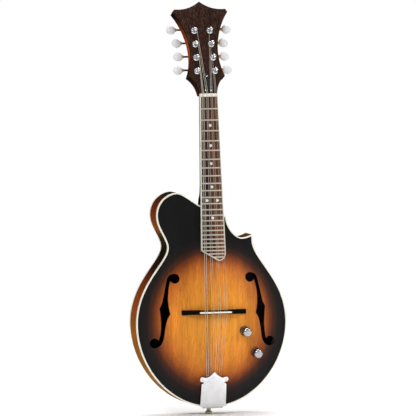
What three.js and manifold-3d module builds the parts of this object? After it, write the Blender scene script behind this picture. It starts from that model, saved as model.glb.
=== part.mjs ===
import * as THREE from 'three';
import { mergeVertices } from 'three/addons/utils/BufferGeometryUtils.js';
import Module from 'manifold-3d';

// Arched-top mandolin with two sound holes, a bass-side horn and a treble-side point.
// Millimetres. +Z runs up the neck, the front looks along -Y, the treble side is +X.
// The origin is the centre of the strap button's flat end.

// Body
const TAIL_Z = 12;
const HALF_DEPTH = 23;
const GAP = 0.3;
const PLATE_EDGE = 4.4;
const BINDING_WIDTH = 2.0;
const RIM_WALL = 3.0;
const LINING_WIDTH = 5;
const LINING_DEPTH = 6;
const ARCH_FRONT = 14;
const ARCH_BACK = 13;
const ARCH_RUN = 85;
const ARCH_CENTRE_Z = 155;
const ARCH_HALF_WIDTH = 190;
const ARCH_HALF_LENGTH = 175;
const ARCH_EDGE_POWER = 1.5;
const GRID = 18;
const GRID_LOW = [-132, 4];
const GRID_SIZE = [264, 368];
const OUTLINE_STEP = 14;
const EYE_R = 7.9;
const EYE_UPPER = [63.5, 224.5];
const EYE_LOWER = [97.5, 119];
const PIN_HOLE_R = 2.9;
const TONE_BAR_LENGTH = 176;
// Cutting tools reach this far, well past every surface that they cut.
const FAR = 60;

// Neck and headstock
const SCALE = 350;
const COMPENSATION = 1.5;
const NUT_Z = 520.5;
const NUT_Y = -14;
const NECK_TILT = THREE.MathUtils.degToRad(5.4);
const HEAD_TILT = THREE.MathUtils.degToRad(15.5);
const BOARD_THICK = 6;
const NUT_HALF = 15;
const NUT_LENGTH = 5.4;
const BOARD_TAPER = 5.6 / 268;
const BOARD_BINDING = 1.6;
const HEAD_START = 6;
const HEAD_DROP = 4.5;
const VENEER = 2.2;
const HEAD_BACK = 15.5;
const SHAFT_POINTS = 10;
const ROD_HALF = 2.8;

// Tuners, counted from the nut
const TUNER_COUNT = 4;
const TUNER_S = 38.5;
const TUNER_PITCH = 23.3;
const TUNER_X = [14.8, 14.2, 13.6, 13.2];
const BUTTON_X = [41.6, 39.2, 39.6, 46.8];
const WORM_RISE = 8.6;
const WORM_BACK = 21;
const POST_R = 3;
const POST_WAIST = 2.5;
const POST_TOP = 10.5;
const STRING_ON_POST = 6.2;
const GEAR_TEETH = 14;
const GEAR_R = 5.2;
const BUTTON_R = 7.8;
const POST_HOLE_R = 3.4;
const GEAR_FRONT = HEAD_BACK + 2.3;
const GEAR_BACK = 23.2;
const TUNER_PLATE = 1.4;

// Bridge and strings
const BRIDGE_Z = NUT_Z - SCALE - COMPENSATION;
const BRIDGE_HALF = 54.5;
const BRIDGE_THICK = 8;
const BRIDGE_TOP = 26.8;
const SADDLE_TOP = 28.8;
const SADDLE_HALF = 27;
const SADDLE_CROWN = 1;
const SADDLE_THICK = 2.6;
const PAIR_PITCH_BRIDGE = 11.3;
const PAIR_PITCH_NUT = 7.2;
const PAIR_HALF_BRIDGE = 1.7;
const PAIR_HALF_NUT = 1.15;
const STRING_R = [0.5, 0.36, 0.26, 0.22];

// Tail hardware and controls
const COVER_SLOPE = THREE.MathUtils.degToRad(11.2);
const COVER_LENGTH = 59;
const COVER_TRAY = 5;
const COVER_WALL = 1.1;
const KNOB_TILT = THREE.MathUtils.degToRad(12);
const KNOB_R = 7.7;
const KNOB_HEIGHT = 16;
const KNOBS = { volume: [52, 137], tone: [72, 101] };
const JACK_BORE_R = 3.3;
const POT_HOLE_R = 3.6;
const BASE_PLATE = 1.3;
const BASE_SLOPE_SHARE = 0.75;
const HOOK_COUNT = 8;
const HOOK_PITCH = 3;

const wasm = await Module();
wasm.setup();
const group = new THREE.Group();
group.name = 'mandolin';

// ---- solid helpers ----

function weld(geometry) {
  const bare = geometry.clone();
  bare.deleteAttribute('normal');
  bare.deleteAttribute('uv');
  const merged = mergeVertices(bare, 1e-4);
  const source = merged.index.array;
  const kept = [];
  for (let i = 0; i < source.length; i += 3) {
    const [a, b, c] = [source[i], source[i + 1], source[i + 2]];
    if (a !== b && b !== c && c !== a) kept.push(a, b, c);
  }
  merged.setIndex(kept);
  return merged;
}

function solid(geometry) {
  const welded = weld(geometry);
  return new wasm.Manifold(new wasm.Mesh({
    numProp: 3,
    vertProperties: welded.attributes.position.array,
    triVerts: new Uint32Array(welded.index.array),
  }));
}

function geometryOf(manifold) {
  const mesh = manifold.getMesh();
  const geometry = new THREE.BufferGeometry();
  const positions = new Float32Array(mesh.vertProperties);
  geometry.setAttribute('position', new THREE.BufferAttribute(positions, 3));
  geometry.setIndex([...mesh.triVerts]);
  return geometry;
}

function part(name, geometry, color, metalness = 0, roughness = 0.5) {
  const material = new THREE.MeshStandardMaterial({ color, metalness, roughness });
  const mesh = new THREE.Mesh(geometry, material);
  mesh.name = name;
  group.add(mesh);
  return mesh;
}

const cut = (base, ...tools) => tools.reduce((body, tool) => body.subtract(tool), base);
const join = (base, ...others) => others.reduce((body, other) => body.add(other), base);

// Samples each curve of a closed path at an even step.
function trace(path, step) {
  path.closePath();
  return path.curves.flatMap((curve) => {
    const count = Math.max(1, Math.round(curve.getLength() / step));
    return curve.getSpacedPoints(curve.isLineCurve ? 1 : Math.max(3, count)).slice(0, -1);
  });
}

// Moves a counter-clockwise loop inwards by d, with mitred corners.
function inset(loop, d) {
  return loop.map((p, i) => {
    const before = p.clone().sub(loop[(i + loop.length - 1) % loop.length]).normalize();
    const after = loop[(i + 1) % loop.length].clone().sub(p).normalize();
    const reach = d / (1 + before.dot(after));
    return new THREE.Vector2(p.x - (before.y + after.y) * reach, p.y + (before.x + after.x) * reach);
  });
}

// A plan drawn in x and z, standing from y = back forwards to y = front.
function stand(loop, front, back) {
  const shape = loop instanceof THREE.Shape ? loop : new THREE.Shape(loop);
  const settings = { depth: back - front, bevelEnabled: false, curveSegments: 8 };
  const geometry = new THREE.ExtrudeGeometry(shape, settings);
  return geometry.rotateX(Math.PI / 2).translate(0, back, 0);
}

function box(x0, x1, y0, y1, z0, z1) {
  const geometry = new THREE.BoxGeometry(Math.abs(x1 - x0), y1 - y0, z1 - z0);
  return geometry.translate((x0 + x1) / 2, (y0 + y1) / 2, (z0 + z1) / 2);
}

// A turned profile of [radius, along] pairs, with its axis along +Y.
function turned(profile, segments) {
  return new THREE.LatheGeometry(profile.map(([r, t]) => new THREE.Vector2(r, t)), segments);
}

// Skins a row of rings that have the same number of points, and caps both ends.
function loft(rings) {
  const n = rings[0].length;
  const positions = rings.flatMap((ring) => ring.flatMap((p) => [p.x, p.y, p.z]));
  const index = [];
  for (let r = 0; r + 1 < rings.length; r += 1) {
    for (let i = 0; i < n; i += 1) {
      const [a, b] = [r * n + i, r * n + ((i + 1) % n)];
      index.push(a, b, b + n, a, b + n, a + n);
    }
  }
  const last = (rings.length - 1) * n;
  for (let i = 1; i + 1 < n; i += 1) {
    index.push(0, i + 1, i, last, last + i, last + i + 1);
  }
  const geometry = new THREE.BufferGeometry();
  geometry.setAttribute('position', new THREE.BufferAttribute(new Float32Array(positions), 3));
  geometry.setIndex(index);
  return geometry;
}

// A round wire of constant radius through a row of points.
function wire(points, radius, sides) {
  const rings = points.map((p, i) => {
    const ahead = points[Math.min(i + 1, points.length - 1)].clone().sub(p).normalize();
    const behind = p.clone().sub(points[Math.max(i - 1, 0)]).normalize();
    const along = ahead.add(behind).normalize();
    const seed = Math.abs(along.z) > 0.5 ? new THREE.Vector3(1, 0, 0) : new THREE.Vector3(0, 0, 1);
    const u = seed.addScaledVector(along, -seed.dot(along)).normalize();
    const v = along.clone().cross(u);
    return Array.from({ length: sides }, (_, k) => {
      const a = (2 * Math.PI * k) / sides;
      return p.clone().addScaledVector(u, radius * Math.cos(a)).addScaledVector(v, radius * Math.sin(a));
    });
  });
  return loft(rings);
}

const vec = (x, y, z) => new THREE.Vector3(x, y, z);
const curveThrough = (points, count) => new THREE.CatmullRomCurve3(points).getPoints(count);

// ---- frames of the tilted assemblies ----

const neckFrame = new THREE.Matrix4().makeTranslation(0, NUT_Y, NUT_Z)
  .multiply(new THREE.Matrix4().makeRotationX(-NECK_TILT));
const headFrame = neckFrame.clone()
  .multiply(new THREE.Matrix4().makeTranslation(0, HEAD_DROP, HEAD_START))
  .multiply(new THREE.Matrix4().makeRotationX(-HEAD_TILT));
const onNeck = (x, y, s) => vec(x, y, s).applyMatrix4(neckFrame);
const onHead = (x, y, s) => vec(x, y, s).applyMatrix4(headFrame);

// ---- body outline and arching ----

const body = new THREE.Path();
body.moveTo(0, TAIL_Z);
body.bezierCurveTo(72, TAIL_Z, 127, 81, 127, 150);
body.bezierCurveTo(127, 220, 71, 252, 70, 284);
body.lineTo(69.5, 294);
body.bezierCurveTo(64, 291, 58, 289, 52, 289);
body.bezierCurveTo(41, 289, 26, 307, 25, 324);
body.lineTo(-22, 344.5);
body.bezierCurveTo(-36, 354, -49, 364.5, -58, 364.5);
body.bezierCurveTo(-67, 364.5, -91.5, 349, -91.5, 327.5);
body.bezierCurveTo(-91.5, 306, -74, 290, -74, 274.5);
body.bezierCurveTo(-74, 251, -127, 216, -127, 150);
body.bezierCurveTo(-127, 81, -72, TAIL_Z, 0, TAIL_Z);
const outline = trace(body, OUTLINE_STEP);
// The inner pieces pass across the root of the treble point instead of following it.
const innerOutline = outline.filter((p) => p.x < 60 || p.y < 283 || p.y > 300);

function insideDistance(x, z) {
  let best = Infinity;
  let inside = false;
  outline.forEach((a, i) => {
    const b = outline[(i + 1) % outline.length];
    const [dx, dz] = [b.x - a.x, b.y - a.y];
    const t = THREE.MathUtils.clamp(((x - a.x) * dx + (z - a.y) * dz) / (dx * dx + dz * dz), 0, 1);
    best = Math.min(best, Math.hypot(a.x + dx * t - x, a.y + dz * t - z));
    const crosses = (a.y > z) !== (b.y > z) && x < a.x + (dx * (z - a.y)) / dz;
    inside = crosses ? !inside : inside;
  });
  return inside ? best : 0;
}

// Carved height above the rim plane: a long dome that flattens to nothing at the edge.
function arch(x, z, rise) {
  const edge = Math.sin((Math.PI / 2) * Math.min(1, insideDistance(x, z) / ARCH_RUN)) ** ARCH_EDGE_POWER;
  const across = 1 - (x / ARCH_HALF_WIDTH) ** 2;
  const along = Math.max(0, 1 - ((z - ARCH_CENTRE_Z) / ARCH_HALF_LENGTH) ** 2);
  return rise * edge * across * along;
}

// A plate between two surfaces y = low(x, z) and y = high(x, z) over the whole body plan.
function heightSolid(low, high) {
  const [nx, nz] = GRID_SIZE.map((size) => Math.ceil(size / GRID));
  const at = (i, k) => [GRID_LOW[0] + (GRID_SIZE[0] * i) / nx, GRID_LOW[1] + (GRID_SIZE[1] * k) / nz];
  const rows = [];
  for (let k = 0; k <= nz; k += 1) {
    const line = [];
    for (let i = 0; i <= nx; i += 1) line.push(vec(at(i, k)[0], low(...at(i, k)), at(i, k)[1]));
    for (let i = nx; i >= 0; i -= 1) line.push(vec(at(i, k)[0], high(...at(i, k)), at(i, k)[1]));
    rows.push(line);
  }
  const n = 2 * (nx + 1);
  const index = [];
  for (let k = 0; k < nz; k += 1) {
    for (let i = 0; i < n; i += 1) {
      const [a, b] = [k * n + i, k * n + ((i + 1) % n)];
      index.push(a, b, b + n, a, b + n, a + n);
    }
  }
  const last = nz * n;
  for (let i = 0; i < nx; i += 1) {
    const [a, b, c, d] = [i, i + 1, n - 2 - i, n - 1 - i];
    index.push(a, c, b, a, d, c, last + a, last + b, last + c, last + a, last + c, last + d);
  }
  const geometry = new THREE.BufferGeometry();
  const flat = rows.flatMap((line) => line.flatMap((p) => [p.x, p.y, p.z]));
  geometry.setAttribute('position', new THREE.BufferAttribute(new Float32Array(flat), 3));
  geometry.setIndex(index);
  return solid(geometry);
}

const frontOf = (x, z) => -HALF_DEPTH - arch(x, z, ARCH_FRONT);
const backOf = (x, z) => HALF_DEPTH + arch(x, z, ARCH_BACK);
const plateLoop = inset(outline, BINDING_WIDTH + GAP);

// ---- plates, rim, bindings, linings and blocks ----

function soundHole(side) {
  const stem = new THREE.Shape();
  stem.moveTo(89.5, 176);
  stem.lineTo(85.5, 184);
  stem.bezierCurveTo(83, 193, 80.5, 207, 76.3, 223.5);
  stem.bezierCurveTo(74.5, 229.5, 70, 232.8, 63.5, 232.2);
  stem.lineTo(63.5, 218);
  stem.lineTo(70.8, 220.5);
  stem.bezierCurveTo(74, 212, 75.5, 200, 75.4, 190);
  stem.bezierCurveTo(75.3, 181, 74, 174, 72.2, 166.7);
  stem.lineTo(77.2, 158);
  stem.bezierCurveTo(79.5, 150, 81, 140, 82.3, 130);
  stem.bezierCurveTo(84, 119, 88.5, 111.3, 97.5, 111.1);
  stem.lineTo(97.5, 124);
  stem.lineTo(91.2, 122.4);
  stem.bezierCurveTo(88, 132, 87.2, 142, 87.4, 155);
  stem.lineTo(88.5, 169);
  const eye = ([x, z]) => solid(turned([[0, -FAR], [EYE_R, -FAR], [EYE_R, 0], [0, 0]], 16)
    .translate(x * side, 0, z));
  const loop = trace(stem, 12).map((p) => new THREE.Vector2(p.x * side, p.y));
  if (side < 0) loop.reverse();
  return join(solid(stand(loop, -FAR, 0)), eye(EYE_UPPER), eye(EYE_LOWER));
}

// Turned solids that follow a control's tilted axis; +Y of the profile is outwards.
function knobFrame([x, z]) {
  const lean = new THREE.Vector3(0.68, 0, -0.73).multiplyScalar(Math.sin(KNOB_TILT));
  const axis = new THREE.Vector3(lean.x, -Math.cos(KNOB_TILT), lean.z).normalize();
  const turn = new THREE.Quaternion().setFromUnitVectors(vec(0, 1, 0), axis);
  return new THREE.Matrix4().compose(vec(x, frontOf(x, z), z), turn, vec(1, 1, 1));
}

const knobFrames = Object.fromEntries(Object.entries(KNOBS).map(([key, plan]) => [key, knobFrame(plan)]));
const potHoles = Object.values(knobFrames)
  .map((frame) => solid(turned([[0, -15], [POT_HOLE_R, -15], [POT_HOLE_R, 12], [0, 12]], 12)
    .applyMatrix4(frame)));

const frontPlate = heightSolid(frontOf, (x, z) => frontOf(x, z) + PLATE_EDGE)
  .intersect(solid(stand(plateLoop, -FAR, 0)));
part('soundboard', geometryOf(cut(frontPlate, soundHole(1), soundHole(-1), ...potHoles)), 0xc07a2c);

const backPlate = heightSolid((x, z) => backOf(x, z) - PLATE_EDGE, backOf)
  .intersect(solid(stand(plateLoop, 0, FAR)));
part('back_plate', geometryOf(backPlate), 0x6b2f18);

const ring = (loop, outer, inner, front, back) => {
  const shape = new THREE.Shape(inset(loop, outer));
  shape.holes.push(new THREE.Path(inset(loop, inner)));
  return stand(shape, front, back);
};
const bindingBack = -HALF_DEPTH + PLATE_EDGE;
part('top_binding', ring(outline, 0, BINDING_WIDTH, -HALF_DEPTH, bindingBack), 0xe9dfc4);
part('back_binding', ring(outline, 0, BINDING_WIDTH, -bindingBack, HALF_DEPTH), 0xe9dfc4);

const rimFront = bindingBack + GAP;
// The jack points straight out of the widest place on the treble side.
const widest = body.curves[0].getPoint(1);
const jackFrame = new THREE.Matrix4().makeTranslation(widest.x, 0, widest.y)
  .multiply(new THREE.Matrix4().makeRotationZ(-Math.PI / 2));
const jackHole = solid(turned([[0, -20], [6.4, -20], [6.4, 12], [0, 12]], 16).applyMatrix4(jackFrame));
const pinProfile = [[0, 0], [PIN_HOLE_R, 0], [PIN_HOLE_R, FAR], [0, FAR]];
const pinHole = solid(turned(pinProfile, 12).rotateX(Math.PI / 2));
const rimBand = solid(ring(outline, 0, RIM_WALL, rimFront, -rimFront));
part('rim', geometryOf(cut(rimBand, jackHole, pinHole)), 0x7a3216);

const liningOuter = RIM_WALL + GAP;
const liningInner = liningOuter + LINING_WIDTH;
const lining = (front, back) => ring(innerOutline, liningOuter, liningInner, front, back);
part('lining_top', lining(rimFront, rimFront + LINING_DEPTH), 0xb88a55);
part('lining_back', lining(-rimFront - LINING_DEPTH, -rimFront), 0xb88a55);

// The end blocks fill the rim between the plates and are notched round the linings.
function endBlock(x0, x1, z0, z1) {
  const waist = -rimFront - LINING_DEPTH - GAP;
  const wide = solid(stand(inset(innerOutline, liningOuter), -waist, waist));
  const tall = solid(stand(inset(innerOutline, liningInner + GAP), rimFront, -rimFront));
  return join(wide, tall).intersect(solid(box(x0, x1, -30, 30, z0, z1)));
}
part('tail_block', geometryOf(cut(endBlock(-30, 30, 0, 34), pinHole)), 0x9c6b3a);
part('neck_block', geometryOf(endBlock(-26, 26, 292, 360)), 0x9c6b3a);

// Tone bars are fitted to the underside of the carved front.
const underFront = heightSolid(() => -FAR, (x, z) => frontOf(x, z) + PLATE_EDGE + GAP);
function toneBar(name, x, lean) {
  const bar = box(-3, 3, -40, -16, -TONE_BAR_LENGTH / 2, TONE_BAR_LENGTH / 2)
    .rotateY(lean).translate(x, 0, BRIDGE_Z + 3);
  part(name, geometryOf(cut(solid(bar), underFront)), 0xc79a62);
}
toneBar('tone_bar_bass', -33, 0.05);
toneBar('tone_bar_treble', 30, -0.03);

// ---- neck ----

// Half the fingerboard's width at s, which is negative towards the body.
const boardHalf = (s) => NUT_HALF - s * BOARD_TAPER;
const neckTop = BOARD_THICK + GAP;

// One D-shaped section of the neck: its place, its depth below the board, how far it narrows, and
// how full its sides are: 1 is round, and less is squarer, as on the heel.
function neckRing(s, depth, waist, fullness) {
  const half = boardHalf(Math.min(0, s)) - 0.1;
  const points = [];
  for (let i = 0; i <= SHAFT_POINTS; i += 1) {
    const a = (Math.PI * i) / SHAFT_POINTS;
    const narrow = 1 - (1 - waist) * Math.sin(a);
    const across = Math.sign(Math.cos(a)) * Math.abs(Math.cos(a)) ** fullness;
    points.push(vec(half * across * narrow, neckTop + (depth - neckTop) * Math.sin(a) ** 0.85, s));
  }
  return points;
}
const neckRings = [
  neckRing(-206, 54, 0.8, 0.5), neckRing(-180, 52, 0.85, 0.5), neckRing(-171, 48, 0.88, 0.5),
  neckRing(-165, 42, 0.9, 0.55), neckRing(-158, 33, 0.92, 0.65), neckRing(-150, 27.5, 0.96, 0.8),
  neckRing(-140, 24.6, 1, 1), neckRing(-120, 23.2, 1, 1), neckRing(-60, 21.6, 1, 1),
  neckRing(4.9, 20, 1, 1),
];

const head = new THREE.Path();
head.moveTo(15.4, 0);
head.bezierCurveTo(16.5, 13, 23, 24, 31.2, 29.5);
head.lineTo(31.2, 31.5);
head.bezierCurveTo(27.5, 40, 23.8, 52, 23.8, 70);
head.bezierCurveTo(23.8, 95, 33, 122, 46.6, 140.5);
head.lineTo(43.5, 145.8);
head.bezierCurveTo(27, 144.5, 14, 148, 0, 159);
head.bezierCurveTo(-14, 148, -27, 144.5, -43.5, 145.8);
head.lineTo(-46.6, 140.5);
head.bezierCurveTo(-33, 122, -23.8, 95, -23.8, 70);
head.bezierCurveTo(-23.8, 52, -27.5, 40, -31.2, 31.5);
head.lineTo(-31.2, 29.5);
head.bezierCurveTo(-23, 24, -16.5, 13, -15.4, 0);
head.lineTo(15.4, 0);
const headLoop = trace(head, 13);

const sides = [{ name: 'bass', sign: -1 }, { name: 'treble', sign: 1 }];
const tuners = sides.flatMap(({ name, sign }) => TUNER_X.map((x, i) => ({
  side: name,
  sign,
  number: i + 1,
  x: sign * x,
  s: TUNER_S + TUNER_PITCH * i,
  buttonX: sign * BUTTON_X[i],
})));

// In the headstock frame +Y goes into the wood.
const postHoles = tuners.map(({ x, s }) => solid(
  turned([[0, -2], [POST_HOLE_R, -2], [POST_HOLE_R, 18], [0, 18]], 10)
    .translate(x, 0, s).applyMatrix4(headFrame),
));
const rodChannel = solid(box(-3.2, 3.2, 0, 12.6, -168, 13).applyMatrix4(neckFrame));
const rodPocket = solid(box(-4, 4, -3, 9, 1.5, 24).applyMatrix4(headFrame));
const bodyClearance = solid(stand(inset(outline, -GAP), -FAR, FAR));

const headCore = solid(stand(headLoop, VENEER + GAP, HEAD_BACK).applyMatrix4(headFrame));
const shaft = solid(loft(neckRings).applyMatrix4(neckFrame));
const neckBlank = join(shaft, headCore);
part('neck', geometryOf(cut(neckBlank, bodyClearance, rodChannel, rodPocket, ...postHoles)), 0x6d2c14);

const veneer = solid(stand(headLoop, 0, VENEER).applyMatrix4(headFrame));
part('headstock_veneer', geometryOf(cut(veneer, rodPocket, ...postHoles)), 0x33201a);

part('truss_rod', box(-ROD_HALF, ROD_HALF, 7, 12, -167, 12).applyMatrix4(neckFrame), 0x8d9095, 1, 0.4);

const bell = new THREE.Shape();
bell.moveTo(9.2, 1.2);
bell.bezierCurveTo(7, 6, 5.6, 14, 5.6, 22);
bell.bezierCurveTo(5.6, 29, 4, 33, 0, 33);
bell.bezierCurveTo(-4, 33, -5.6, 29, -5.6, 22);
bell.bezierCurveTo(-5.6, 14, -7, 6, -9.2, 1.2);
part('truss_rod_cover', stand(trace(bell, 4), -GAP - 1.8, -GAP).applyMatrix4(headFrame), 0x101012, 0, 0.35);

const nutLoop = [[-NUT_HALF, -5.9], [-NUT_HALF, 0.6], [-NUT_HALF + 1.2, 1.6], [NUT_HALF - 1.2, 1.6],
  [NUT_HALF, 0.6], [NUT_HALF, -5.9]].map(([x, h]) => new THREE.Vector2(x, h));
const nutDepth = { depth: NUT_LENGTH - GAP, bevelEnabled: false };
const nutGeometry = new THREE.ExtrudeGeometry(new THREE.Shape(nutLoop), nutDepth);
part('nut', nutGeometry.rotateX(Math.PI).translate(0, 0, NUT_LENGTH).applyMatrix4(neckFrame), 0xf1ecdf);

const board = new THREE.Path();
board.moveTo(-NUT_HALF, 0);
board.lineTo(-boardHalf(-252), -252);
board.lineTo(4, -266);
board.bezierCurveTo(6, -267.3, 8, -268.6, 10.5, -268.5);
board.bezierCurveTo(16, -268, 20.6, -262, boardHalf(-256), -256);
board.lineTo(NUT_HALF, 0);
board.lineTo(-NUT_HALF, 0);
const boardLoop = trace(board, 4);
const boardCore = inset(boardLoop, BOARD_BINDING + GAP);
const boardTip = boardCore.map((p) => new THREE.Vector2(p.x, p.y > -3 ? -0.01 : p.y));
part('fingerboard', stand(boardTip, 0, BOARD_THICK).applyMatrix4(neckFrame), 0x4a2413, 0, 0.55);
const bindingCore = inset(boardLoop, BOARD_BINDING).map((p) => new THREE.Vector2(p.x, p.y > -3 ? 5 : p.y));
const boardSlab = solid(stand(boardLoop, 0, BOARD_THICK));
const boardEdge = cut(boardSlab, solid(stand(bindingCore, -1, BOARD_THICK + 1)));
part('fingerboard_binding', geometryOf(boardEdge).applyMatrix4(neckFrame), 0xe9dfc4);

// The riser carries the board's overhang and is scribed to the carved front.
const riserSlab = solid(stand(inset(boardLoop, 3), neckTop, 40).applyMatrix4(neckFrame));
const overFront = heightSolid((x, z) => frontOf(x, z) - GAP, () => FAR);
const riserPlan = solid(stand(inset(outline, BINDING_WIDTH + 1), -FAR, FAR));
part('fingerboard_riser', geometryOf(cut(riserSlab.intersect(riserPlan), overFront)), 0x2a1610);

// ---- bridge ----

const saddleHalfThick = SADDLE_THICK / 2;
const slotHalfThick = saddleHalfThick + GAP;
const saddleSlot = solid(box(-SADDLE_HALF - GAP, SADDLE_HALF + GAP, -FAR, -HALF_DEPTH - 24.6,
  BRIDGE_Z - slotHalfThick, BRIDGE_Z + slotHalfThick));
const foot = (x) => arch(x, BRIDGE_Z, ARCH_FRONT) + GAP;
const arches = new THREE.Shape();
arches.moveTo(-BRIDGE_HALF, foot(BRIDGE_HALF) + 0.2);
arches.lineTo(-24, foot(24) + 0.4);
arches.bezierCurveTo(-20, 18.5, -8, 19.5, 0, 19.5);
arches.bezierCurveTo(8, 19.5, 20, 18.5, 24, foot(24) + 0.4);
arches.lineTo(BRIDGE_HALF, foot(BRIDGE_HALF) + 0.2);
arches.lineTo(BRIDGE_HALF, 15.5);
arches.bezierCurveTo(46, 16.5, 40, 19, 36, 22.5);
arches.bezierCurveTo(33.5, 25, 31.5, BRIDGE_TOP, 28.5, BRIDGE_TOP);
arches.lineTo(-28.5, BRIDGE_TOP);
arches.bezierCurveTo(-31.5, BRIDGE_TOP, -33.5, 25, -36, 22.5);
arches.bezierCurveTo(-40, 19, -46, 16.5, -BRIDGE_HALF, 15.5);
const bridgeBlank = new THREE.ExtrudeGeometry(new THREE.Shape(trace(arches, 6)),
  { depth: BRIDGE_THICK, bevelEnabled: false }).rotateX(Math.PI)
  .translate(0, -HALF_DEPTH, BRIDGE_Z + BRIDGE_THICK / 2);
part('bridge', geometryOf(cut(solid(bridgeBlank), saddleSlot, overFront)), 0x17120f, 0, 0.5);

const saddleLoop = new THREE.Shape();
saddleLoop.moveTo(-SADDLE_HALF, 25);
saddleLoop.lineTo(SADDLE_HALF, 25);
saddleLoop.lineTo(SADDLE_HALF, SADDLE_TOP - SADDLE_CROWN);
saddleLoop.quadraticCurveTo(0, SADDLE_TOP + SADDLE_CROWN, -SADDLE_HALF, SADDLE_TOP - SADDLE_CROWN);
const saddleShape = new THREE.Shape(trace(saddleLoop, 9));
part('saddle', new THREE.ExtrudeGeometry(saddleShape, { depth: SADDLE_THICK, bevelEnabled: false })
  .rotateX(Math.PI).translate(0, -HALF_DEPTH, BRIDGE_Z + saddleHalfThick), 0xf1ecdf);

// ---- tail hardware ----

const coverFrame = new THREE.Matrix4().makeTranslation(0, -HALF_DEPTH - 5, TAIL_Z + 1)
  .multiply(new THREE.Matrix4().makeRotationX(COVER_SLOPE));
const cover = new THREE.Path();
cover.moveTo(-21.8, 0);
cover.lineTo(21.8, 0);
cover.lineTo(20.8, 38.5);
cover.lineTo(17.8, 39.6);
cover.bezierCurveTo(17.2, 41, 18, 42, 19.6, 42);
cover.bezierCurveTo(22.2, 42, 24, 43.8, 24, 46.2);
cover.bezierCurveTo(24, 48.6, 22.2, 50.4, 19.8, 50.4);
cover.bezierCurveTo(17.5, 50.4, 16, 49, 14, 49);
cover.bezierCurveTo(9.5, 49.5, 5, 53, 0, COVER_LENGTH);
cover.bezierCurveTo(-5, 53, -9.5, 49.5, -14, 49);
cover.bezierCurveTo(-16, 49, -17.5, 50.4, -19.8, 50.4);
cover.bezierCurveTo(-22.2, 50.4, -24, 48.6, -24, 46.2);
cover.bezierCurveTo(-24, 43.8, -22.2, 42, -19.6, 42);
cover.bezierCurveTo(-18, 42, -17.2, 41, -17.8, 39.6);
cover.lineTo(-20.8, 38.5);
cover.lineTo(-21.8, 0);
const coverLoop = trace(cover, 6);
const coverShell = cut(
  solid(stand(coverLoop, 0, COVER_TRAY)),
  solid(stand(inset(coverLoop, COVER_WALL), COVER_WALL, COVER_TRAY + 1)),
  solid(box(-15, 15, COVER_WALL, COVER_TRAY + 1, 40, 70)),
  solid(box(-18, 18, 1.8, COVER_TRAY + 1, -1, 2)),
);
part('tailpiece_cover', geometryOf(coverShell).applyMatrix4(coverFrame), 0xd9dde2, 1, 0.2);

const hooks = Array.from({ length: HOOK_COUNT }, (_, i) => (i - (HOOK_COUNT - 1) / 2) * HOOK_PITCH);
const baseFrame = new THREE.Matrix4().makeTranslation(0, -HALF_DEPTH - 1, TAIL_Z + 0.5)
  .multiply(new THREE.Matrix4().makeRotationX(COVER_SLOPE * BASE_SLOPE_SHARE));
const baseTop = solid(box(-17, 17, -BASE_PLATE, 0, -2.1, 34).applyMatrix4(baseFrame));
const hookSolids = hooks.map((x) => solid(box(x - 0.7, x + 0.7, -2.9, -0.6, 27, 29).applyMatrix4(baseFrame)));
const baseFlange = solid(box(-11, 11, -25, 12, TAIL_Z - GAP - 1.4, TAIL_Z - GAP));
const tailBase = cut(join(baseTop, baseFlange, ...hookSolids), pinHole);
part('tailpiece_base', geometryOf(tailBase), 0xb9bdc2, 1, 0.3);

const buttonProfile = [[0, 0], [5.2, 0], [6, 0.8], [6, 2.2], [3.4, 5], [3.6, 7], [5, TAIL_Z - 2.1],
  [2.6, TAIL_Z - 2.1], [2.6, 33], [0, 35]];
part('strap_button', turned(buttonProfile, 20).rotateX(Math.PI / 2), 0xc9b88a, 1, 0.3);

// ---- controls ----

for (const [key, frame] of Object.entries(knobFrames)) {
  const knob = [[4, 1], [KNOB_R, 1], [KNOB_R, KNOB_HEIGHT - 3.5], [KNOB_R - 1, KNOB_HEIGHT - 1.3],
    [KNOB_R - 3, KNOB_HEIGHT - 0.3], [0, KNOB_HEIGHT], [0, 13], [3.15, 13], [3.15, 6], [4, 5], [4, 1]];
  part(`${key}_knob`, geometryOf(solid(turned(knob, 18))).applyMatrix4(frame), 0xd5d8dc, 1, 0.25);
  const pot = [[0, -17.5], [8, -17.5], [8, -7.4], [3.3, -7.4], [3.3, 4], [2.85, 4.5], [2.85, 12], [0, 12]];
  part(`${key}_pot`, turned(pot, 12).applyMatrix4(frame), 0x9a9da1, 1, 0.45);
}

const jackProfile = [[0, -24], [6, -24], [6, 0.6], [10, 0.6], [10, 2], [8.6, 2.8], [JACK_BORE_R, 2.8],
  [JACK_BORE_R, -21], [0, -21]];
part('output_jack', turned(jackProfile, 20).applyMatrix4(jackFrame), 0xc9ccd0, 1, 0.3);

const [pickupX, pickupZ] = [12, BRIDGE_Z + 3];
const pickupY = frontOf(pickupX, pickupZ) + PLATE_EDGE + GAP;
const pickupDisc = turned([[0, 0.3], [10, 0.3], [10, 2], [0, 2]], 18);
part('pickup_disc', pickupDisc.translate(pickupX, pickupY, pickupZ), 0xb8954a, 1, 0.4);

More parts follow.
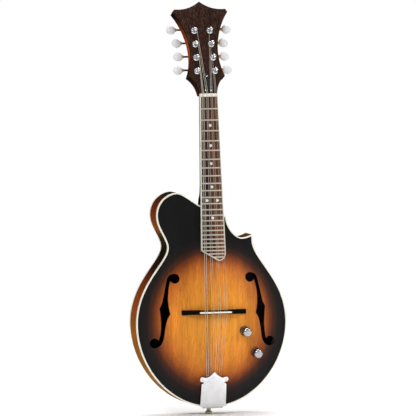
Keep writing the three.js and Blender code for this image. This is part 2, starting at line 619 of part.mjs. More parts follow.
// Leads run inside the body from the pickup to the controls and on to the jack.
const potBack = (key) => vec(0, -18.8, 0).applyMatrix4(knobFrames[key]);
const jackBack = vec(0, -25, 0).applyMatrix4(jackFrame);
const pickupEnd = vec(pickupX, pickupY + 2.9, pickupZ);
const lead = (name, points, color) => part(name, wire(curveThrough(points, 12), 0.9, 6), color);
lead('pickup_lead', [pickupEnd, vec(15, -14, 166), vec(32, -8, 154),
  potBack('volume').add(vec(-3, 1, 3))], 0x222226);
lead('pot_lead', [potBack('volume').add(vec(3, 1, -3)), vec(56, 0, 124), vec(62, 0, 112),
  potBack('tone').add(vec(-3, 1, 3))], 0xa02020);
lead('jack_lead', [potBack('tone').add(vec(3, 1, 3)), vec(82, 0, 120), vec(90, 2, 140),
  jackBack.clone().add(vec(-6, 0, 0)), jackBack], 0x222226);

// ---- tuners ----

for (const { name, sign } of sides) {
  const span = TUNER_PITCH * (TUNER_COUNT - 1);
  const mid = TUNER_S + span / 2;
  const centreX = (sign * (TUNER_X[0] + TUNER_X[TUNER_COUNT - 1])) / 2;
  const lean = Math.atan2(sign * (TUNER_X[0] - TUNER_X[TUNER_COUNT - 1]), span);
  const own = tuners.filter((t) => t.side === name);
  const plateFront = HEAD_BACK + GAP;
  const strip = solid(box(-5.5, 5.5, plateFront, plateFront + TUNER_PLATE, -span / 2 - 8, span / 2 + 15)
    .rotateY(-lean).translate(centreX, 0, mid).applyMatrix4(headFrame));
  const ears = own.map(({ x, s }) => solid(box(x + sign * 4.2, x + sign * 5.6, HEAD_BACK + 1, WORM_BACK + 3,
    s + WORM_RISE - 3, s + WORM_RISE + 3).applyMatrix4(headFrame)));
  const shaftHoles = own.map(({ x, s }) => solid(turned([[0, -12], [1.95, -12], [1.95, 12], [0, 12]], 8)
    .rotateZ(Math.PI / 2).translate(x, WORM_BACK, s + WORM_RISE).applyMatrix4(headFrame)));
  const bores = own.map(({ x, s }) => solid(turned([[0, 0], [POST_HOLE_R, 0], [POST_HOLE_R, 30], [0, 30]], 10)
    .translate(x, 0, s).applyMatrix4(headFrame)));
  const plate = cut(join(strip, ...ears), ...shaftHoles, ...bores);
  part(`tuner_plate_${name}`, geometryOf(plate), 0xc9ccd0, 1, 0.3);
}

const gearLoop = Array.from({ length: 2 * GEAR_TEETH }, (_, i) => {
  const r = i % 2 ? GEAR_R : GEAR_R - 1;
  const a = (Math.PI * i) / GEAR_TEETH;
  return new THREE.Vector2(r * Math.cos(a), r * Math.sin(a));
});

for (const tuner of tuners) {
  const { side, sign, number, x, s, buttonX } = tuner;
  const post = [[0, -POST_TOP], [2.3, -POST_TOP], [POST_R, -POST_TOP + 0.8], [POST_R, -8], [POST_WAIST, -6.9],
    [POST_WAIST, -5.4], [POST_R, -4.3], [POST_R, 24], [0, 24]];
  const gear = solid(stand(gearLoop, GEAR_FRONT, GEAR_BACK));
  part(`post_${side}_${number}`, geometryOf(join(solid(turned(post, 10)), gear))
    .translate(x, 0, s).applyMatrix4(headFrame), 0xd9dde2, 1, 0.25);

  const reach = Math.abs(buttonX - x);
  const shaftProfile = [[0, -4.2], [2.6, -4.2], [2.6, 3.8], [1.6, 3.8], [1.6, reach - BUTTON_R - 1.5],
    [2.6, reach - BUTTON_R - 1.5], [2.6, reach - BUTTON_R + 1.5], [0, reach - BUTTON_R + 1.5]];
  const shaftSolid = solid(turned(shaftProfile, 8).rotateZ((-sign * Math.PI) / 2));
  const disc = [[0, -3.3], [5.2, -2.8], [BUTTON_R, -0.8], [BUTTON_R, 0.8], [5.2, 2.8], [0, 3.3]];
  const knobSolid = solid(turned(disc, 14).translate(sign * reach, 0, 0));
  part(`button_${side}_${number}`, geometryOf(join(shaftSolid, knobSolid))
    .translate(x, WORM_BACK, s + WORM_RISE).applyMatrix4(headFrame), 0xf2f0ea, 0, 0.3);
}

// ---- strings: four pairs, each wire made whole from its hook to its post ----

const stringRow = ['g', 'd', 'a', 'e'].flatMap((note, pair) => [0, 1].map((twin) => ({ note, pair, twin })));
stringRow.forEach(({ note, pair, twin }, i) => {
  const radius = STRING_R[pair];
  const bass = pair < 2;
  const spread = twin ? 1 : -1;
  const number = bass ? i + 1 : 8 - i;
  const tuner = tuners.find((t) => t.side === (bass ? 'bass' : 'treble') && t.number === number);
  const bridgeX = (pair - 1.5) * PAIR_PITCH_BRIDGE + spread * PAIR_HALF_BRIDGE;
  const nutX = (pair - 1.5) * PAIR_PITCH_NUT + spread * PAIR_HALF_NUT;
  const crown = SADDLE_TOP - SADDLE_CROWN * (bridgeX / SADDLE_HALF) ** 2;
  const hook = vec(hooks[i], -BASE_PLATE - GAP - radius, 30).applyMatrix4(baseFrame);
  const over = vec(bridgeX, -HALF_DEPTH - crown - GAP - radius, BRIDGE_Z);
  const nutFront = onNeck(nutX, -1.6 - GAP - radius, 1.5);
  const nutBack = onNeck(nutX, -1.4 - GAP - radius, NUT_LENGTH);
  const side = Math.sign(-tuner.x);
  const post = onHead(tuner.x + side * (POST_WAIST + GAP + radius), -STRING_ON_POST, tuner.s + 1.5);
  const name = `string_${note}${twin + 1}`;
  part(name, wire([hook, over, nutFront, nutBack, post], radius, 8), bass ? 0xb08a5a : 0xc8ccd2, 1, 0.3);
});

export default group;
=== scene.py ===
# %% [markdown]
# # An arched-top mandolin
#
# This lesson dresses a packed mandolin in its finishes. The CAD model gives the frame: where
# every part sits and what it moves with. Here each visible part is modelled again with finer
# edges and gets a procedural material.
#
# Pieces are shaped in millimetres, because that is how an instrument maker measures, and are
# brought to metres when they are finished.

# %% Load the frame
import math
import bpy
import numpy as np
from mathutils import Matrix, Vector
from mathutils.geometry import interpolate_bezier


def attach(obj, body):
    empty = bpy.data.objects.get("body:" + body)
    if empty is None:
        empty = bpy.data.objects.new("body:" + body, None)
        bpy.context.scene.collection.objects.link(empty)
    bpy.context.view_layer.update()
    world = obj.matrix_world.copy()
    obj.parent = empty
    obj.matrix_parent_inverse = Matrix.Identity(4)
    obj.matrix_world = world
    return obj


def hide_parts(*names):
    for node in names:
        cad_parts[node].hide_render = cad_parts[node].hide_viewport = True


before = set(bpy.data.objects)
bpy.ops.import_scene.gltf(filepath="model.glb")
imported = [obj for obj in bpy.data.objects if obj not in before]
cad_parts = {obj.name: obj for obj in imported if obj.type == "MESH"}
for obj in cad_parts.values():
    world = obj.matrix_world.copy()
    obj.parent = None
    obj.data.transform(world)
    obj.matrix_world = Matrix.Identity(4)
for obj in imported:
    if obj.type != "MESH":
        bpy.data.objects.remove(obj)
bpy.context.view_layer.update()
MM = 0.001

# %% [markdown]
# ## Camera, floor and light
#
# A very long lens from twelve metres keeps the body and neck almost free of perspective, as
# in a catalogue picture. The instrument stands upright on its strap button, turned a little
# so that the bass side of the rim shows.

# %% Camera
CAMERA_TURN = math.radians(-15)
CAMERA_RISE = math.radians(3.5)
CAMERA_ROLL = math.radians(0.3)
CAMERA_DISTANCE = 12.0
CAMERA_TARGET = Vector((-0.0054, -0.023, 0.3388))
CAMERA_REACH = 200.0
SENSOR_WIDTH = 36.0
FRAME_WIDTH = 0.6805

camera_data = bpy.data.cameras.new("camera")
camera_data.sensor_width = SENSOR_WIDTH
camera_data.lens = camera_data.sensor_width * CAMERA_DISTANCE / FRAME_WIDTH
camera = bpy.data.objects.new("camera", camera_data)
bpy.context.scene.collection.objects.link(camera)
towards_camera = Vector((
    math.sin(CAMERA_TURN) * math.cos(CAMERA_RISE),
    -math.cos(CAMERA_TURN) * math.cos(CAMERA_RISE),
    math.sin(CAMERA_RISE),
))
aim = (-towards_camera).to_track_quat("-Z", "Y").to_matrix().to_4x4()
place = Matrix.Translation(CAMERA_TARGET + towards_camera * CAMERA_DISTANCE)
camera.matrix_world = place @ aim @ Matrix.Rotation(-CAMERA_ROLL, 4, "Z")
camera_data.clip_end = CAMERA_REACH
bpy.context.scene.camera = camera
print("lens", round(camera_data.lens, 1), "mm")

# %% [markdown]
# The floor is one pale sheet, a few times as wide as the instrument is tall. It is lit until
# it is as white as the surroundings, so its edges, which are turned down a little, don't show.

# %% Floor
FLOOR_Z = -0.0004
FLOOR_HALF = 1.8
FLOOR_LIP = 0.05
FLOOR_DROP = FLOOR_LIP / 4
bpy.ops.object.select_all(action="DESELECT")
bpy.ops.mesh.primitive_plane_add(size=2 * FLOOR_HALF, location=(0, 0, FLOOR_Z))
floor = bpy.context.object
floor.name = "floor"
bpy.ops.object.mode_set(mode="EDIT")
bpy.ops.mesh.select_all(action="SELECT")
bpy.ops.mesh.inset(thickness=FLOOR_LIP, depth=FLOOR_DROP)
bpy.ops.transform.translate(value=(0, 0, -FLOOR_DROP))
bpy.ops.object.mode_set(mode="OBJECT")
print("floor with", len(floor.data.polygons), "faces")

# %% [markdown]
# Four broad area lights do the work of soft boxes: a key from the upper left, a fill from the
# right, one overhead and one behind. The surroundings that light the instrument are a soft
# grey, darker towards the horizon, so that lacquer stays deep and polished metal has something
# to mirror. The camera itself sees plain white behind the object.

# %% Lights
LIGHT_AIM = Vector((0, 0, 0.3))
LIGHTS = {
    "key": ((-1.9, -3.4, 3.0), 1.5, 95),
    "fill": ((3.0, -2.8, 1.6), 1.8, 45),
    "overhead": ((0.2, 0.6, 3.8), 2.6, 95),
    "rear": ((1.6, 3.2, 2.2), 1.6, 60),
}
for title, (spot, size, watts) in LIGHTS.items():
    light_data = bpy.data.lights.new(title, "AREA")
    light_data.shape = "DISK"
    light_data.size = size
    light_data.energy = watts
    light = bpy.data.objects.new(title, light_data)
    bpy.context.scene.collection.objects.link(light)
    light.location = spot
    aim = (LIGHT_AIM - light.location).to_track_quat("-Z", "Y")
    light.rotation_euler = aim.to_euler()

WORLD_STRENGTH = 0.42
HORIZON = (0.50, (0.42, 0.42, 0.43, 1))
ZENITH = (0.85, (1.0, 1.0, 1.0, 1))
world = bpy.data.worlds.new("studio")
bpy.context.scene.world = world
world.use_nodes = True
sky = world.node_tree
direction = sky.nodes.new("ShaderNodeTexCoord")
split = sky.nodes.new("ShaderNodeSeparateXYZ")
halved = sky.nodes.new("ShaderNodeMapRange")
halved.inputs["From Min"].default_value = -1
halved.inputs["From Max"].default_value = 1
shade = sky.nodes.new("ShaderNodeValToRGB")
for element, (spot, color) in zip(shade.color_ramp.elements, (HORIZON, ZENITH)):
    element.position = spot
    element.color = color
white = sky.nodes.new("ShaderNodeBackground")
rays = sky.nodes.new("ShaderNodeLightPath")
choice = sky.nodes.new("ShaderNodeMixShader")
sky.links.new(direction.outputs["Generated"], split.inputs[0])
sky.links.new(split.outputs["Z"], halved.inputs["Value"])
sky.links.new(halved.outputs[0], shade.inputs[0])
sky.links.new(shade.outputs[0], sky.nodes["Background"].inputs["Color"])
sky.links.new(rays.outputs["Is Camera Ray"], choice.inputs[0])
sky.links.new(sky.nodes["Background"].outputs[0], choice.inputs[1])
sky.links.new(white.outputs[0], choice.inputs[2])
sky.links.new(choice.outputs[0], sky.nodes["World Output"].inputs["Surface"])
sky.nodes["Background"].inputs["Strength"].default_value = WORLD_STRENGTH
white.inputs["Color"].default_value = (1, 1, 1, 1)
bpy.context.scene.view_settings.view_transform = "Standard"
print("lights:", ", ".join(LIGHTS))

# %% [markdown]
# ## Tools for shaping
#
# A maker works from paper patterns. A pattern here is a short path of lines and curves in
# x and z, written with the usual letters: M to start, L for a line, C for a curve with its
# two handles. Curves are walked in short, even steps.

# %% Patterns
def pattern(text, step=3.0):
    """The points, in mm, of a closed path in the x and z plane."""
    words = text.split()
    points = []
    at = 0
    while at < len(words):
        count = 3 if words[at] == "C" else 1
        numbers = [float(word) for word in words[at + 1:at + 1 + 2 * count]]
        corners = [Vector((x, 0, z)) for x, z in zip(numbers[::2], numbers[1::2])]
        if words[at] == "C":
            pieces = max(4, round((corners[2] - points[-1]).length / step))
            points += interpolate_bezier(points[-1], *corners, pieces + 1)[1:]
        else:
            points.append(corners[0])
        at += 1 + 2 * count
    if (points[0] - points[-1]).length < 0.01:
        points.pop()
    return points


def both_sides(points):
    """Adds the mirror image of a right-hand half, which runs from bottom to top."""
    left = [Vector((-p.x, p.y, p.z)) for p in reversed(points) if abs(p.x) > 0.01]
    return points + left


def mirror(points):
    """The same pattern on the other side of the middle."""
    return [Vector((-p.x, p.y, p.z)) for p in reversed(points)]


def inset(points, distance):
    """A counter-clockwise pattern, moved inwards with mitred corners."""
    moved = []
    for i, p in enumerate(points):
        before = (p - points[i - 1]).normalized()
        after = (points[(i + 1) % len(points)] - p).normalized()
        reach = distance / (1 + before.dot(after))
        moved.append(p + Vector((-(before.z + after.z), 0, before.x + after.x)) * reach)
    return moved


# %% [markdown]
# Every operator works on whatever is selected, so each tool first clears the selection.
# `slab` is the maker's board: a filled circle whose vertices are put on the pattern, pulled
# to its thickness. `turned` is the lathe, and `wall` bends a strip round a pattern.

# %% Blanks
def begin():
    """Leaves edit mode and selects nothing."""
    if bpy.context.object and bpy.context.object.mode != "OBJECT":
        bpy.ops.object.mode_set(mode="OBJECT")
    bpy.ops.object.select_all(action="DESELECT")


def work_on(piece):
    """Makes this the one selected and active object."""
    begin()
    piece.select_set(True)
    bpy.context.view_layer.objects.active = piece


def loop(name, points, fill):
    """A circle whose vertices are moved onto these points."""
    begin()
    bpy.ops.mesh.primitive_circle_add(vertices=len(points), fill_type=fill)
    piece = bpy.context.object
    piece.name = name
    for vertex, point in zip(piece.data.vertices, points):
        vertex.co = point
    return piece


def face_outwards(piece):
    """Merges doubled points and turns all faces outwards."""
    work_on(piece)
    bpy.ops.object.mode_set(mode="EDIT")
    bpy.ops.mesh.select_all(action="SELECT")
    bpy.ops.mesh.remove_doubles(threshold=0.002)
    bpy.ops.mesh.normals_make_consistent(inside=False)
    bpy.ops.object.mode_set(mode="OBJECT")
    return piece


def slab(name, points, front, back):
    """A flat board with this pattern, from y = front to y = back."""
    piece = loop(name, [Vector((p.x, front, p.z)) for p in points], "NGON")
    bpy.ops.object.mode_set(mode="EDIT")
    bpy.ops.mesh.select_all(action="SELECT")
    bpy.ops.mesh.extrude_region_move(TRANSFORM_OT_translate={"value": (0, back - front, 0)})
    return face_outwards(piece)


def turned(name, profile, segments=40):
    """A closed profile of (radius, along) pairs, spun round the local Y axis."""
    piece = loop(name, [Vector((radius, along, 0)) for radius, along in profile], "NOTHING")
    bpy.ops.object.mode_set(mode="EDIT")
    bpy.ops.mesh.select_all(action="SELECT")
    bpy.ops.mesh.spin(steps=segments, angle=2 * math.pi, center=(0, 0, 0), axis=(0, 1, 0))
    return face_outwards(piece)


def plug(radius, start, end, segments):
    """A round plug along the local Y axis, used to bore a hole."""
    return turned("plug", [(0, start), (radius, start), (radius, end), (0, end)], segments)


def wall(name, points, front, back, thickness, closed=True):
    """A strip that follows a pattern, thickened to the inside."""
    piece = loop(name, [Vector((p.x, front, p.z)) for p in points], "NOTHING")
    bpy.ops.object.mode_set(mode="EDIT")
    bpy.ops.mesh.select_mode(type="EDGE")
    if not closed:
        bpy.ops.mesh.select_all(action="DESELECT")
        bpy.ops.object.mode_set(mode="OBJECT")
        ends = {0, len(points) - 1}
        for edge in piece.data.edges:
            edge.select = set(edge.vertices) == ends
        bpy.ops.object.mode_set(mode="EDIT")
        bpy.ops.mesh.delete(type="EDGE")
    bpy.ops.mesh.select_all(action="SELECT")
    bpy.ops.mesh.extrude_region_move(TRANSFORM_OT_translate={"value": (0, back - front, 0)})
    bpy.ops.object.mode_set(mode="OBJECT")
    modifier = piece.modifiers.new("wall", "SOLIDIFY")
    modifier.thickness = thickness
    modifier.offset = 1
    modifier.use_even_offset = True
    bpy.ops.object.modifier_apply(modifier=modifier.name)
    return face_outwards(piece)


def block(name, low, high):
    """A squared block between two corners."""
    begin()
    low, high = Vector(low), Vector(high)
    bpy.ops.mesh.primitive_cube_add(size=1, location=(low + high) / 2, scale=high - low)
    bpy.context.object.name = name
    bpy.ops.object.transform_apply(location=True, rotation=True, scale=True)
    return bpy.context.object


# %% [markdown]
# Edges are eased with a bevel modifier, and holes are cut with a boolean, both applied at
# once. `bend` draws a wire as a curve with a round section and turns it into a mesh.

# %% Shaping
def apply(piece, kind, **settings):
    """Adds a modifier with these settings and applies it."""
    work_on(piece)
    modifier = piece.modifiers.new(kind.lower(), kind)
    for key, value in settings.items():
        setattr(modifier, key, value)
    bpy.ops.object.modifier_apply(modifier=modifier.name)
    return piece


def ease(piece, width, segments=2, angle=35):
    """Rounds every edge sharper than the angle."""
    return apply(
        piece, "BEVEL", width=width, segments=segments,
        limit_method="ANGLE", angle_limit=math.radians(angle),
    )


def carve(piece, *tools, operation="DIFFERENCE"):
    """Cuts tools out of a piece, or keeps what they share with it, and removes the tools."""
    for tool in tools:
        apply(piece, "BOOLEAN", object=tool, operation=operation, solver="EXACT")
        bpy.data.objects.remove(tool)
    return piece


def put(piece, matrix):
    """Moves a piece by a matrix and applies its place to its mesh."""
    work_on(piece)
    piece.matrix_world = matrix @ piece.matrix_world
    bpy.ops.object.transform_apply(location=True, rotation=True, scale=True)
    return piece


def copy_of(piece, name, matrix=Matrix()):
    """A copy with its own mesh, moved by a matrix."""
    work_on(piece)
    bpy.ops.object.duplicate()
    twin = bpy.context.object
    twin.name = name
    return put(twin, matrix)


def bend(name, points, radius, sides=4):
    """A round wire through these points."""
    begin()
    bpy.ops.curve.primitive_bezier_curve_add()
    piece = bpy.context.object
    piece.name = name
    curve = piece.data
    curve.splines.clear()
    spline = curve.splines.new("POLY")
    spline.points.add(len(points) - 1)
    for spot, point in zip(spline.points, points):
        spot.co = (*point, 1)
    curve.dimensions = "3D"
    curve.bevel_depth = radius
    curve.bevel_resolution = sides
    curve.use_fill_caps = True
    bpy.ops.object.convert(target="MESH")
    return face_outwards(bpy.context.object)


def joined(name, *pieces):
    """Several solids as one mesh."""
    begin()
    for piece in pieces:
        piece.select_set(True)
    bpy.context.view_layer.objects.active = pieces[0]
    bpy.ops.object.join()
    bpy.context.object.name = name
    return bpy.context.object


# %% [markdown]
# `finished` is the last step for every piece. It is brought to metres, its smooth faces are
# shaded smooth, and it gets its finish, the body that it moves with and the CAD nodes that it
# stands for.

# %% Finishing
SMOOTH = math.radians(32)


def finished(piece, finish, body, slot, *nodes, smooth=SMOOTH):
    """Brings a piece to metres and hands it to the frame."""
    put(piece, Matrix.Scale(MM, 4))
    bpy.ops.object.shade_smooth_by_angle(angle=smooth)
    piece.data.materials.clear()
    piece.data.materials.append(finish)
    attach(piece, body)
    if nodes:
        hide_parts(*nodes)
    return piece


# %% [markdown]
# ## Tools for finishes
#
# Materials are made of nodes. These helpers keep the recipes short: each takes numbers,
# colours or the outputs of other nodes, and returns an output.

# %% Node helpers
def screen(red, green, blue):
    """A linear colour from the 0 to 255 values of a colour as a screen shows it."""
    parts = [value / 255 for value in (red, green, blue)]
    return tuple(v / 12.92 if v < 0.04 else ((v + 0.055) / 1.055) ** 2.4 for v in parts) + (1,)


def feed(tree, socket, given):
    """Links an output to a socket, or sets the socket's value."""
    if isinstance(given, bpy.types.NodeSocket):
        tree.links.new(given, socket)
    else:
        socket.default_value = given


def maths(tree, operation, first, second=0.0, clamp=False):
    node = tree.nodes.new("ShaderNodeMath")
    node.operation = operation
    node.use_clamp = clamp
    feed(tree, node.inputs[0], first)
    feed(tree, node.inputs[1], second)
    return node.outputs[0]


def vector_maths(tree, operation, first, second):
    node = tree.nodes.new("ShaderNodeVectorMath")
    node.operation = operation
    feed(tree, node.inputs[0], first)
    feed(tree, node.inputs[1], second)
    return node.outputs["Value"] if operation in ("LENGTH", "DOT_PRODUCT") else node.outputs[0]


def stretch(tree, value, low, high, to_low=0.0, to_high=1.0):
    """Maps low..high to another range, and holds it there."""
    node = tree.nodes.new("ShaderNodeMapRange")
    feed(tree, node.inputs["Value"], value)
    for title, number in zip(("From Min", "From Max", "To Min", "To Max"), (low, high, to_low, to_high)):
        feed(tree, node.inputs[title], number)
    return node.outputs[0]


def mixed(tree, share, first, second, blend="MIX"):
    """Mixes two colours."""
    node = tree.nodes.new("ShaderNodeMix")
    node.data_type = "RGBA"
    node.blend_type = blend
    feed(tree, node.inputs[0], share)
    feed(tree, node.inputs[6], first)
    feed(tree, node.inputs[7], second)
    return node.outputs[2]


def ramp(tree, value, stops):
    """Colours along a value, from (place, colour) pairs."""
    node = tree.nodes.new("ShaderNodeValToRGB")
    feed(tree, node.inputs[0], value)
    elements = node.color_ramp.elements
    while len(elements) < len(stops):
        elements.new(0.5)
    for element, (spot, color) in zip(elements, stops):
        element.position = spot
        element.color = color
    return node.outputs[0]


def noise(tree, vector, scale, detail=3.0, roughness=0.5):
    node = tree.nodes.new("ShaderNodeTexNoise")
    feed(tree, node.inputs["Vector"], vector)
    feed(tree, node.inputs["Scale"], scale)
    node.inputs["Detail"].default_value = detail
    node.inputs["Roughness"].default_value = roughness
    return node.outputs[0]


def place_on(tree):
    """The point on the piece, in metres."""
    return tree.nodes.new("ShaderNodeTexCoord").outputs["Object"]


def split_xyz(tree, vector):
    node = tree.nodes.new("ShaderNodeSeparateXYZ")
    feed(tree, node.inputs[0], vector)
    return node.outputs


def bump(tree, height, strength, distance):
    node = tree.nodes.new("ShaderNodeBump")
    node.inputs["Strength"].default_value = strength
    node.inputs["Distance"].default_value = distance
    feed(tree, node.inputs["Height"], height)
    return node.outputs[0]


def new_finish(name):
    """A material, its tree and its shader."""
    material = bpy.data.materials.new(name)
    material.use_nodes = True
    return material, material.node_tree, material.node_tree.nodes["Principled BSDF"]


# %% [markdown]
# ## Shared effects
#
# Wood grain is the same idea on every board: noise that is drawn out along the tree. One
# group makes its three layers: broad bands, fine lines, and the short dark pores of an
# open-grained wood. Each material gives the group its own direction and fineness.

# %% Groups for wood and metal
def new_group(name, inputs, outputs):
    """An empty node group with named inputs and outputs."""
    tree = bpy.data.node_groups.new(name, "ShaderNodeTree")
    for title, kind in inputs.items():
        tree.interface.new_socket(title, in_out="INPUT", socket_type=kind)
    for title in outputs:
        tree.interface.new_socket(title, in_out="OUTPUT", socket_type="NodeSocketFloat")
    return tree, tree.nodes.new("NodeGroupInput").outputs, tree.nodes.new("NodeGroupOutput").inputs


def use_group(tree, group, **values):
    """Places a group and feeds its inputs; an underscore in a name stands for a space."""
    node = tree.nodes.new("ShaderNodeGroup")
    node.node_tree = group
    for title, value in values.items():
        feed(tree, node.inputs[title.replace("_", " ")], value)
    return node.outputs


GRAIN_INPUTS = {"Vector": "NodeSocketVector", "Along": "NodeSocketVector", "Fineness": "NodeSocketFloat"}
wood_grain, given, made = new_group("wood_grain", GRAIN_INPUTS, ["Bands", "Lines", "Pores"])
drawn = vector_maths(wood_grain, "MULTIPLY", given["Vector"], given["Along"])
broad = maths(wood_grain, "MULTIPLY", given["Fineness"], 0.12)
feed(wood_grain, made["Bands"], noise(wood_grain, drawn, broad, 2))
feed(wood_grain, made["Lines"], noise(wood_grain, drawn, given["Fineness"], 5, 0.65))
dense = maths(wood_grain, "MULTIPLY", given["Fineness"], 2.6)
pore_spots = noise(wood_grain, drawn, dense, 2, 0.6)
feed(wood_grain, made["Pores"], stretch(wood_grain, pore_spots, 0.60, 0.72))

METAL_INPUTS = {"Vector": "NodeSocketVector", "Size": "NodeSocketFloat"}
metal_wear, given, made = new_group("metal_wear", METAL_INPUTS, ["Smudge", "Scratch"])
clouds = noise(metal_wear, given["Vector"], given["Size"], 3, 0.6)
feed(metal_wear, made["Smudge"], stretch(metal_wear, clouds, 0.35, 0.75))
hairs = vector_maths(metal_wear, "MULTIPLY", given["Vector"], (1.0, 14.0, 9.0))
hair_spots = noise(metal_wear, hairs, maths(metal_wear, "MULTIPLY", given["Size"], 3.0), 4, 0.7)
feed(metal_wear, made["Scratch"], stretch(metal_wear, hair_spots, 0.52, 0.62))

OVAL_INPUTS = {"Vector": "NodeSocketVector", "Centre": "NodeSocketVector", "Stretch": "NodeSocketVector"}
oval_distance, given, made = new_group("oval_distance", OVAL_INPUTS, ["Distance"])
from_centre = vector_maths(oval_distance, "SUBTRACT", given["Vector"], given["Centre"])
scaled = vector_maths(oval_distance, "MULTIPLY", from_centre, given["Stretch"])
wander = noise(oval_distance, given["Vector"], 14.0, 2)
reach = vector_maths(oval_distance, "LENGTH", scaled, (0, 0, 0))
wandered = maths(oval_distance, "ADD", reach, maths(oval_distance, "MULTIPLY", wander, 0.05))
feed(oval_distance, made["Distance"], maths(oval_distance, "SUBTRACT", wandered, 0.025))
print("groups:", [group.name for group in bpy.data.node_groups])

# %% [markdown]
# ## Finishes for the wood
#
# The front is stained amber in the middle and sprayed black towards the edge, in an oval that
# leaves the horn and the point black. The stain is painted by distance from the middle, and
# the grain darkens it. In the sound holes and inside the box, where a face turns away from
# the outside, the wood is painted near black: a painted shade, for the bare wood in there
# lies in shadow.

# %% Sunburst front
BURST_CENTRE = (0.0, 0.0, 0.156)
BURST_HALF = (0.108, 0.119)
BURST_END = 1.25
AMBER = [
    (0.00, screen(236, 156, 52)),
    (0.30, screen(236, 153, 51)),
    (0.60, screen(222, 135, 44)),
    (0.76, screen(192, 106, 36)),
    (0.87, screen(136, 66, 25)),
    (0.95, screen(70, 34, 18)),
    (1.03, screen(28, 21, 19)),
    (1.15, screen(14, 14, 14)),
]
FRONT_GRAIN = (1.0, 1.0, 0.045)
LACQUER_GLOSS = 0.16
EDGE_GLOSS = 0.0
BARE_GLOSS = 0.5


def lay_on(tree, shader, color, gloss, blur, rough, height, relief, depth):
    """Gives a wood its colour, its gloss, a roughness that varies and its relief."""
    feed(tree, shader.inputs["Base Color"], color)
    feed(tree, shader.inputs["Roughness"], stretch(tree, blur, 0.3, 0.7, *rough))
    shader.inputs["Specular IOR Level"].default_value = gloss
    feed(tree, shader.inputs["Normal"], bump(tree, height, relief, depth))


def burst_finish(name, stops, grain_depth, outwards):
    """A sprayed burst over open-grained wood, under satin lacquer; outwards is -1 or 1 along Y."""
    material, tree, shader = new_finish(name)
    spot = place_on(tree)
    flat = (1 / BURST_HALF[0], 0.0, 1 / BURST_HALF[1])
    distance = use_group(tree, oval_distance, Vector=spot, Centre=BURST_CENTRE, Stretch=flat)[0]
    share = maths(tree, "DIVIDE", distance, BURST_END)
    color = ramp(tree, share, [(place / BURST_END, color) for place, color in stops])
    grain = use_group(tree, wood_grain, Vector=spot, Along=FRONT_GRAIN, Fineness=520.0)
    bands = stretch(tree, grain["Bands"], 0.3, 0.7, 1 - grain_depth, 1 + grain_depth * 0.4)
    lines = stretch(tree, grain["Lines"], 0.3, 0.7, 1 - grain_depth * 0.8, 1 + grain_depth * 0.5)
    depth = maths(tree, "MULTIPLY", bands, lines)
    color = mixed(tree, 1.0, color, depth, "MULTIPLY")
    pores = maths(tree, "MULTIPLY", grain["Pores"], 0.7)
    color = mixed(tree, pores, color, screen(150, 108, 74), "MULTIPLY")
    # Painted shade: faces turned inwards, in the sound holes and inside the box, go near black.
    normal = split_xyz(tree, tree.nodes.new("ShaderNodeTexCoord").outputs["Normal"])
    facing = maths(tree, "MULTIPLY", normal["Y"], outwards)
    painted_inner_shade = stretch(tree, facing, 0.45, 0.6, 1.0, 0.0)
    color = mixed(tree, painted_inner_shade, color, screen(16, 13, 12))
    height = maths(tree, "SUBTRACT", grain["Lines"], maths(tree, "MULTIPLY", grain["Pores"], 0.6))
    lay_on(tree, shader, color, LACQUER_GLOSS, grain["Lines"], (0.44, 0.34), height, 0.12, 0.0003)
    return material


front_finish = burst_finish("sunburst_front", AMBER, 0.3, -1.0)
BACK_STOPS = [
    (0.00, screen(134, 66, 34)),
    (0.60, screen(118, 54, 30)),
    (0.85, screen(84, 36, 24)),
    (1.00, screen(44, 25, 21)),
    (1.15, screen(26, 20, 19)),
]
back_finish = burst_finish("sunburst_back", BACK_STOPS, 0.2, 1.0)
print("burst reaches black", round(BURST_HALF[0] * 2000), "mm across")

# %% [markdown]
# The rim is stained red-brown, lighter round the tail and sprayed almost black at the waist
# and the horn. Neck and rim share the recipe: a stain chosen by height, over grain.

# %% Rim and neck
BODY_TOP = 0.37


def stained_finish(name, stops, along, fineness, grain_depth, top=BODY_TOP):
    """Stained wood whose colour is chosen by height."""
    material, tree, shader = new_finish(name)
    spot = place_on(tree)
    height = maths(tree, "DIVIDE", split_xyz(tree, spot)["Z"], top)
    grain = use_group(tree, wood_grain, Vector=spot, Along=along, Fineness=fineness)
    wavy = maths(tree, "ADD", height, stretch(tree, grain["Bands"], 0, 1, -0.02, 0.02))
    color = ramp(tree, wavy, [(place / top, color) for place, color in stops])
    bands = stretch(tree, grain["Bands"], 0.3, 0.7, 1 - grain_depth, 1 + grain_depth * 0.5)
    lines = stretch(tree, grain["Lines"], 0.3, 0.7, 1 - grain_depth, 1 + grain_depth * 0.5)
    color = mixed(tree, 1.0, color, maths(tree, "MULTIPLY", bands, lines), "MULTIPLY")
    color = mixed(tree, maths(tree, "MULTIPLY", grain["Pores"], 0.5), color, screen(38, 18, 12))
    lines = grain["Lines"]
    lay_on(tree, shader, color, EDGE_GLOSS, lines, (0.6, 0.5), lines, 0.12, 0.0003)
    return material


